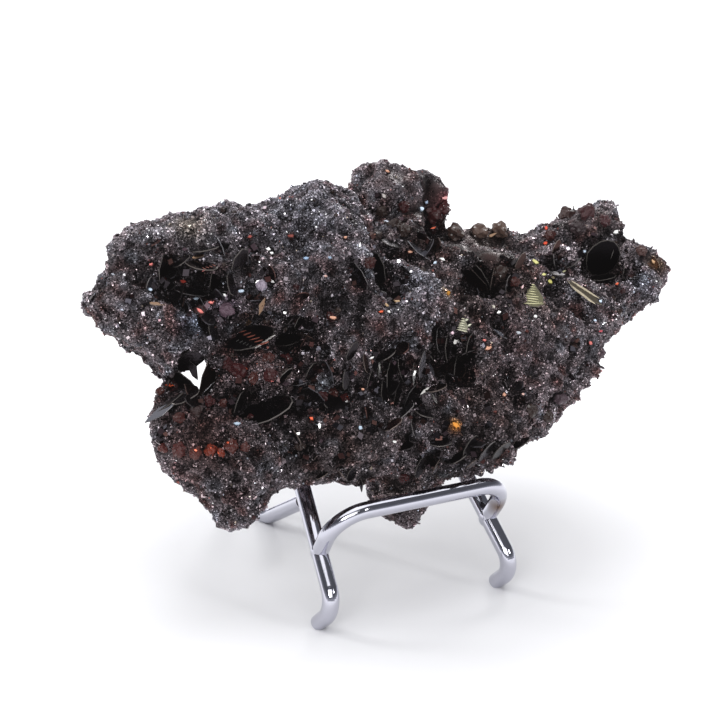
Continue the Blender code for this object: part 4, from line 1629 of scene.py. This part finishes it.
def loose_plates(chance):
    """Small plates on edge, here and there among the grains on every side."""
    rows = []
    spots, ways, heights = crust_places(LOOSE_PLATES, chance)
    tints = crust_tint_with_painted_shade(spots, heights)
    for place, out, tint in zip(spots, ways, tints):
        length = chance.uniform(*LOOSE_LENGTH)
        width = length * chance.uniform(0.4, 0.9)
        facing = np.cross(out, chance.normal(0, 1, 3))
        facing = on_edge(facing / np.linalg.norm(facing) + chance.normal(0, 0.25, 3))
        along = out + chance.normal(0, 0.35, 3)
        lifted = place + out * length * 0.2 * MM
        kind = chance.integers(1, 4)
        rows.append((kind, lifted, facing, along, length, width, tint * chance.uniform(0.35, 0.9)))
    return rows


chance = np.random.default_rng(CRUST_SEED + 1)
plate_shapes = (
    plate_shape(14, 0.0, 0.05, chance),
    plate_shape(7, 0.0, 0.16, chance),
    plate_shape(8, 0.5, 0.06, chance),
    plate_shape(9, 0.1, 0.2, chance),
    plate_shape(7, 0.85, 0.08, chance),
    plate_shape(11, 0.0, 0.06, chance, taper=0.85),
)
# Plates: black mirrors, rippled by growth. Their broken rims are rougher and painted paler, a painted
# highlight that draws a thin light line round the large plates and a faint one round the small.
plate_face = plate_material("hematite plate, smooth growth face", (0.08, 0.3), 0.5)
bright_painted_rim = facet_material("hematite plate, rim painted bright", (0.3, 0.5), 1.0, lighter=0.3)
dull_rim = facet_material("hematite plate, dull rim", (0.3, 0.6), 1.0, lighter=0.06)
for name, rows, plate_rim in (
    ("large_plates", set_plates(), bright_painted_rim),
    ("hollow_plates", sheaves(chance), dull_rim),
    ("loose_plates", loose_plates(chance), dull_rim),
):
    kinds, spots, facing, along, length, width, tint = (np.array(column) for column in zip(*rows))
    kept = wire_reach(spots)[0] > (ROD_RADIUS + 0.8) * MM + length * 0.5 * MM
    kinds, spots, facing, along, length, width, tint = (
        column[kept] for column in (kinds, spots, facing, along, length, width, tint)
    )
    sizes = np.stack([length, width, np.full(len(length), PLATE_THICKNESS)], 1) * MM
    tint = np.concatenate([tint, chance.random((len(tint), 1))], 1)
    mesh = joined(name, plate_shapes, kinds, spots, turned_to(facing, along), sizes, tint)
    add_piece(name, mesh, plate_face, plate_rim)


# Stout hematite crystals fill the hollows between the plates: black, brown or dark red, clean and sharp.
block_rows = []
for place, out in hollow_places(HOLLOW_BLOCKS, chance):
    size = chance.uniform(*HOLLOW_BLOCK_SIZE)
    code = (BLACK, BLACK, "#2c2327", BROWN, "#33201f", SLATE)[chance.integers(0, 6)]
    block_rows.append((place + out * size * 0.15 * MM, out, size, colour(code)[:3]))
spots, ways, sizes, tint = (np.array(column) for column in zip(*block_rows))
kept = wire_reach(spots)[0] > (ROD_RADIUS + 0.5) * MM + sizes * 0.6 * MM
spots, ways, sizes, tint = (column[kept] for column in (spots, ways, sizes, tint))
count = len(spots)
turns = turned_to(ways + chance.normal(0, 0.8, (count, 3)), chance.normal(0, 1, (count, 3)))
sizes = sizes[:, None] * chance.uniform((0.7, 0.6, 0.35), (1.2, 1.0, 1.0), (count, 3)) * MM
tint = np.concatenate([tint * chance.lognormal(0, 0.3, (count, 1)), chance.random((count, 1))], 1)
mesh = joined("hollow_crystals", blocks, chance.integers(0, 2, count), spots, turns, sizes, tint)
# Sharp crystals: clean dark metal faces, black until one of them meets a lamp
sharp_faces = facet_material("hematite crystal, clean and sharp", (0.12, 0.35), 1.0)
add_piece("hollow_crystals", mesh, sharp_faces)


# The red crystals: thick rounded hematite crystals, dark garnet red where light gets into them, and
# small facets painted in the orange, pink, white or yellow-green of the light that they throw back, a
# painted highlight. Each is given by its place in the picture, its size in millimetres and its colour.
GARNET = "#311213"
WINE = "#241012"
EMBER = "#65281b"
RUST = "#3a1c19"
UMBER = "#2f2421"
RED_CRYSTALS = (
    (240, 372, 3.4, GARNET),
    (228, 366, 2.4, GARNET),
    (254, 378, 2.2, RUST),
    (268, 360, 2.2, RUST),
    (270, 376, 2.4, GARNET),
    (286, 361, 2.2, GARNET),
    (286, 374, 2.0, UMBER),
    (165, 447, 2.2, "#4a2320"),
    (180, 450, 2.5, "#43211f"),
    (196, 453, 2.4, "#4a2621"),
    (211, 449, 2.0, EMBER),
    (221, 452, 1.8, EMBER),
    (231, 447, 2.6, "#472420"),
    (246, 446, 2.0, "#40201d"),
    (196, 412, 2.2, "#2a1c1b"),
    (180, 418, 2.2, RUST),
    (208, 402, 2.0, GARNET),
    (222, 404, 1.8, RUST),
    (205, 372, 2.4, GARNET),
    (216, 384, 2.6, UMBER),
    (252, 420, 2.0, GARNET),
    (404, 208, 2.4, GARNET),
    (392, 228, 3.6, UMBER),
    (568, 216, 3.2, "#3c2a28"),
    (588, 213, 3.4, "#402628"),
    (577, 228, 3.2, "#33282a"),
    (603, 221, 3.0, "#452a2c"),
    (641, 252, 2.6, "#4c3633"),
    (457, 234, 4.0, "#40302b"),
    (478, 233, 4.2, "#55433b"),
    (499, 232, 4.3, "#56443c"),
    (432, 214, 4.2, "#351617"),
    (442, 208, 3.0, "#3a191b"),
    (405, 232, 3.0, UMBER),
    (368, 262, 2.4, "#341a19"),
    (374, 236, 2.6, UMBER),
    (548, 236, 2.6, RUST),
    (530, 412, 2.8, UMBER),
    (548, 416, 2.6, UMBER),
    (560, 398, 2.6, "#4d4046"),
    (600, 352, 2.4, "#4d4046"),
    (322, 396, 2.4, GARNET),
    (332, 392, 2.0, RUST),
    (345, 400, 2.0, GARNET),
    (310, 412, 1.4, WINE),
    (300, 445, 2.4, UMBER),
    (382, 212, 2.6, UMBER),
    (330, 316, 2.0, GARNET),
    (262, 286, 2.2, "#8d8390"),
    (404, 476, 2.2, GARNET),
    (500, 270, 2.8, UMBER),
    (515, 282, 2.4, RUST),
    (160, 392, 1.6, RUST),
    (226, 310, 2.8, "#57454f"),
    (150, 370, 2.6, "#5a5f6d"),
)
SEEDED_CRYSTALS = 110
SEEDED_SIZE = (0.6, 1.4)
# Colours of the painted glints: the light that the facets throw back, painted on them
WHITE = "#fbfbf8"
PINK = "#e8837c"
ORANGE = "#e0603a"
PEACH = "#cf9a80"
LIME = "#d9d68c"
SKY = "#cfe0f2"
WARM = (PINK, ORANGE, PEACH, "#a53c30", "#a5524a", "#8f4a42", "#c9552f", "#e2502e", "#e8533a", "#e2622e")
UNDER_GLINT = 1.25
# Small facets painted as glints, a painted highlight: place in the picture, length and width in millimetres,
# colour
PAINTED_GLINTS = (
    (200, 311, 1.7, 0.9, PINK),
    (212, 303, 1.2, 0.8, PINK),
    (268, 250, 1.3, 0.9, WHITE),
    (272, 254, 0.9, 0.6, WHITE),
    (258, 281, 1.2, 1.0, WHITE),
    (272, 281, 1.4, 0.9, WHITE),
    (263, 288, 1.2, 1.0, SKY),
    (241, 291, 1.3, 0.8, SKY),
    (225, 296, 0.8, 0.6, WHITE),
    (196, 299, 1.2, 0.7, SKY),
    (152, 265, 0.9, 0.7, PINK),
    (150, 289, 1.0, 0.8, SKY),
    (205, 269, 1.6, 0.6, PINK),
    (212, 266, 1.2, 0.5, PINK),
    (243, 370, 2.0, 0.8, ORANGE),
    (269, 360, 1.5, 0.9, ORANGE),
    (268, 374, 1.2, 1.0, PEACH),
    (272, 380, 1.0, 0.8, PINK),
    (243, 335, 2.4, 0.5, "#c96a55"),
    (248, 340, 2.4, 0.5, "#c96a55"),
    (254, 344, 2.2, 0.5, "#c96a55"),
    (170, 386, 2.4, 0.7, ORANGE),
    (183, 282, 1.2, 0.9, "#a53c30"),
    (250, 237, 1.2, 0.8, "#a5524a"),
    (290, 236, 1.4, 0.9, "#8f4a42"),
    (211, 449, 1.5, 0.9, ORANGE),
    (220, 453, 1.1, 0.7, ORANGE),
    (230, 443, 1.5, 0.7, ORANGE),
    (196, 450, 1.0, 0.7, "#c9552f"),
    (345, 399, 1.4, 1.0, ORANGE),
    (347, 402, 0.8, 0.7, WHITE),
    (312, 419, 1.2, 0.8, ORANGE),
    (320, 425, 0.7, 1.6, WHITE),
    (298, 433, 1.1, 0.8, WHITE),
    (333, 318, 1.6, 0.9, PEACH),
    (372, 235, 1.3, 0.6, PEACH),
    (397, 302, 1.6, 1.0, "#b79a76"),
    (386, 305, 1.0, 0.7, "#b79a76"),
    (388, 312, 1.0, 0.7, WHITE),
    (381, 312, 1.0, 0.5, ORANGE),
    (442, 260, 1.6, 0.8, WHITE),
    (436, 263, 1.0, 0.6, SKY),
    (410, 252, 1.2, 0.8, PEACH),
    (450, 201, 1.4, 1.8, PINK),
    (444, 198, 1.4, 0.9, "#f2b0ae"),
    (421, 209, 1.1, 1.6, SKY),
    (426, 203, 0.9, 1.2, "#8fa0b8"),
    (433, 228, 1.6, 0.5, ORANGE),
    (387, 172, 1.1, 0.7, PEACH),
    (384, 196, 1.4, 0.8, "#b9b2ae"),
    (386, 222, 1.4, 0.7, "#c6ccd8"),
    (499, 312, 1.3, 0.8, WHITE),
    (493, 307, 1.1, 0.8, "#d8d2c4"),
    (535, 317, 0.9, 0.8, WHITE),
    (518, 333, 1.2, 0.8, "#d5dbe2"),
    (488, 347, 1.8, 1.3, PEACH),
    (484, 341, 0.8, 0.6, PINK),
    (457, 341, 1.6, 0.8, WHITE),
    (452, 333, 0.9, 1.0, "#e4c6d2"),
    (466, 320, 1.4, 0.6, "#dfe0c8"),
    (469, 326, 1.3, 0.5, "#dfe0c8"),
    (535, 262, 1.8, 1.1, LIME),
    (543, 275, 1.6, 0.8, LIME),
    (550, 282, 1.1, 1.2, "#c4bf6a"),
    (563, 272, 1.5, 0.7, "#eceab8"),
    (522, 288, 0.6, 1.6, "#eac6c8"),
    (531, 300, 1.6, 1.0, "#d9c9a6"),
    (545, 244, 1.2, 0.9, "#e2502e"),
    (546, 229, 0.8, 1.3, "#c9432a"),
    (615, 232, 1.6, 1.3, WHITE),
    (584, 252, 0.9, 1.0, SKY),
    (611, 276, 1.4, 0.7, "#c9cbd8"),
    (600, 302, 0.9, 0.8, SKY),
    (595, 321, 0.9, 0.7, SKY),
    (600, 331, 1.0, 0.7, "#c25560"),
    (590, 343, 1.0, 0.8, PINK),
    (617, 284, 0.9, 0.6, ORANGE),
    (653, 262, 1.0, 1.4, "#c9a27a"),
    (553, 278, 1.0, 0.8, "#b5a98a"),
    (404, 477, 1.9, 1.0, "#e8533a"),
    (548, 433, 1.4, 0.8, "#e2622e"),
    (456, 425, 1.7, 1.3, "#d98c2c"),
    (448, 293, 0.8, 1.4, "#b9802f"),
    (504, 395, 1.0, 1.1, PEACH),
    (523, 394, 0.8, 0.6, "#d8b0a6"),
    (363, 390, 0.7, 0.6, PEACH),
    (439, 442, 2.0, 0.4, WHITE),
    (446, 443, 1.4, 0.4, "#d5dbe2"),
    (481, 443, 0.8, 0.5, PEACH),
    (394, 441, 0.9, 0.7, WHITE),
    (360, 428, 1.0, 0.9, "#a9bac9"),
    (371, 358, 1.2, 0.5, WHITE),
    (415, 372, 0.5, 3.6, WHITE),
    (379, 366, 0.4, 3.4, "#e6e4dd"),
    (237, 424, 1.4, 0.9, "#9fb0c0"),
    (188, 358, 0.9, 0.7, "#d6e2ee"),
    (160, 320, 0.8, 0.7, "#d0a4ae"),
    (285, 312, 0.8, 0.7, WHITE),
    (345, 238, 0.8, 0.6, PEACH),
    (326, 276, 0.7, 0.6, "#d8b0a6"),
    (306, 259, 1.2, 0.9, "#8fa8c4"),
    (330, 258, 0.9, 0.6, "#93a6bb"),
)


def rounded_crystal(detail, uneven, chance):
    """A stout crystal with many small faces and soft corners."""
    shape = bmesh.new()
    bmesh.ops.create_icosphere(shape, subdivisions=detail, radius=0.5)
    shift = Vector(chance.uniform(-9, 9, 3))
    for vert in shape.verts:
        fine = noise.noise(vert.co * 8 + shift) * 0.3
        vert.co *= 1 + (noise.noise(vert.co * 3.2 + shift) + fine) * uneven
    return shape_arrays(shape)


def glint_facet(sides, chance):
    """A flat crystal face with a few uneven corners."""
    shape = bmesh.new()
    bmesh.ops.create_cone(shape, cap_ends=True, segments=sides, radius1=0.5, radius2=0.42, depth=1)
    uneven = chance.uniform(0.65, 1.2, (sides, 2))
    for vert in shape.verts:
        turn = math.atan2(vert.co.y, vert.co.x) % math.tau
        stretch = uneven[int(turn / math.tau * sides + 0.5) % sides]
        vert.co.x *= stretch[0]
        vert.co.y *= stretch[1]
    return shape_arrays(shape)


# Light goes a little way into red hematite. Its faces are not clean enough to mirror as its refraction
# of nearly 3 would have them do, so a lower value gives the gloss that they show.
RED_IOR = 1.45
chance = np.random.default_rng(CRUST_SEED + 2)
red_faces = facet_material("red hematite, clear at its edges", (0.1, 0.35), 0.0, ior=RED_IOR)


def set_red_crystals(name, shapes, rows, chance):
    """Rounded crystals, each given by its place, the crust's way there, its size and its colour."""
    spots, ways, sizes, codes = zip(*rows)
    spots, ways, sizes = np.array(spots), np.array(ways), np.array(sizes)
    kept = wire_reach(spots)[0] > (ROD_RADIUS + 0.4) * MM + sizes * 0.5 * MM
    tints = np.array([colour(code)[:3] for code in codes])[kept]
    spots, ways, sizes = spots[kept], ways[kept], sizes[kept]
    count = len(spots)
    turns = turned_to(ways + chance.normal(0, 0.4, (count, 3)), chance.normal(0, 1, (count, 3)))
    stretch = sizes[:, None] * chance.uniform(0.8, 1.2, (count, 3)) * MM
    tints = np.concatenate([tints, chance.random((count, 1))], 1)
    mesh = joined(name, shapes, chance.integers(0, len(shapes), count), spots, turns, stretch, tints)
    return add_piece(name, mesh, red_faces)


rows = []
for px, py, size, code in RED_CRYSTALS:
    hit = on_crust(px, py)
    if hit:
        rows.append((np.array(hit[0]) + np.array(hit[1]) * size * 0.12 * MM, np.array(hit[1]), size, code))
for px, py, length, _, code in PAINTED_GLINTS:
    hit = on_crust(px, py)
    if hit and code in WARM:
        size = length * UNDER_GLINT
        rows.append((np.array(hit[0]), np.array(hit[1]), size, WINE))
shapes = tuple(rounded_crystal(3, 0.45, chance) for _ in range(6))
set_red_crystals("rounded_crystals", shapes, rows, chance)

rows = []
places, outward, height = crust_places(SEEDED_CRYSTALS, chance)
for place, out in zip(places, outward):
    size = chance.uniform(*SEEDED_SIZE)
    code = ("#2c1516", UMBER, UMBER, BLACK)[chance.integers(0, 4)]
    rows.append((place + out * size * 0.1 * MM, out, size, code))
shapes = tuple(rounded_crystal(2, 0.5, chance) for _ in range(4))
set_red_crystals("small_red_crystals", shapes, rows, chance)

# Growth ribs across some of the plates, drawn as facets whose colours are partly their own and partly
# painted
# highlight and painted reflection: the plate's place in the picture, the first and the last rib's place, how
# many, the way that they run, the first and the last one's length, their width, their colour
RIBS = (
    ((250, 338), (243, 332), (263, 344), 6, 18, 2.0, 2.6, 0.5, "#8f5245"),
    ((250, 338), (238, 341), (254, 348), 6, 60, 1.0, 1.0, 0.16, "#5f5e5c"),
    ((250, 338), (258, 347), (272, 337), 5, 36, 1.6, 1.6, 0.2, "#cbc6c2"),
    ((203, 266), (204, 269), (214, 266), 4, -52, 1.3, 1.1, 0.3, "#8f5a50"),
    ((533, 296), (533, 285), (532, 304), 9, -8, 1.0, 5.6, 0.26, "#c2bf95"),
    ((463, 325), (463, 319), (462, 331), 6, -10, 0.9, 2.8, 0.22, "#cfccb2"),
    ((602, 258), (612, 254), (612, 254), 1, 80, 3.2, 3.2, 0.24, "#57524f"),
    ((584, 293), (584.5, 289.5), (582, 294.5), 2, -35, 8.0, 8.8, 0.8, "#c4b89f"),
)
glint_shapes = tuple(glint_facet(sides, chance) for sides in (4, 5, 5, 6, 7))
# Painted highlights: polished faces painted in the colour of the light they throw back, half metal and half
# glass
painted_glint_faces = facet_material("facet painted with the light it throws back", (0.2, 0.4), 0.35, ior=1.8)
spots, facing, along, sizes, tints = [], [], [], [], []
for px, py, length, width, code in PAINTED_GLINTS:
    hit = on_crust(px, py)
    if hit:
        normal = np.array(hit[1])
        out = 0.46 * length * UNDER_GLINT if code in WARM else 0.25
        spots.append(np.array(hit[0]) + (normal * 0.2 + view_back * out) * MM)
        facing.append(normal * 0.4 + view_back + view_up * 0.5 + chance.normal(0, 0.12, 3))
        along.append(view_right + view_up * chance.normal(0, 0.5))
        sizes.append((length, width, 0.25))
        tints.append((*colour(code)[:3], 0.5))
for plate, first, last, many, run, first_length, last_length, width, code in RIBS:
    middle, normal, _ = plate_planes[plate]
    for step in np.linspace(0, 1, many):
        px, py = np.array(first) + (np.array(last) - first) * step
        start, aim = (np.array(part) for part in picture_ray(px, py))
        lean = math.radians(run + chance.normal(0, 3))
        way = view_right * math.cos(lean) + view_up * math.sin(lean)
        spots.append(start + aim * ((middle - start) @ normal) / (aim @ normal) + normal * 0.1 * MM)
        facing.append(normal)
        along.append(way)
        length = first_length + (last_length - first_length) * step
        sizes.append((length * chance.uniform(0.8, 1.0), width * chance.uniform(0.7, 1.2), 0.16))
        tints.append((*colour(code)[:3], 0.5))
spots, facing, along, sizes, tints = (np.array(column) for column in (spots, facing, along, sizes, tints))
count = len(spots)
turns = turned_to(facing, along)
mesh = joined("painted_glints", glint_shapes, chance.integers(0, 5, count), spots, turns, sizes * MM, tints)
add_piece("painted_glints", mesh, painted_glint_faces)


scene_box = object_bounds()
both_boxes = {"cad": cad_box, "scene": scene_box}
{name: [list(corner) for corner in box] for name, box in both_boxes.items()}
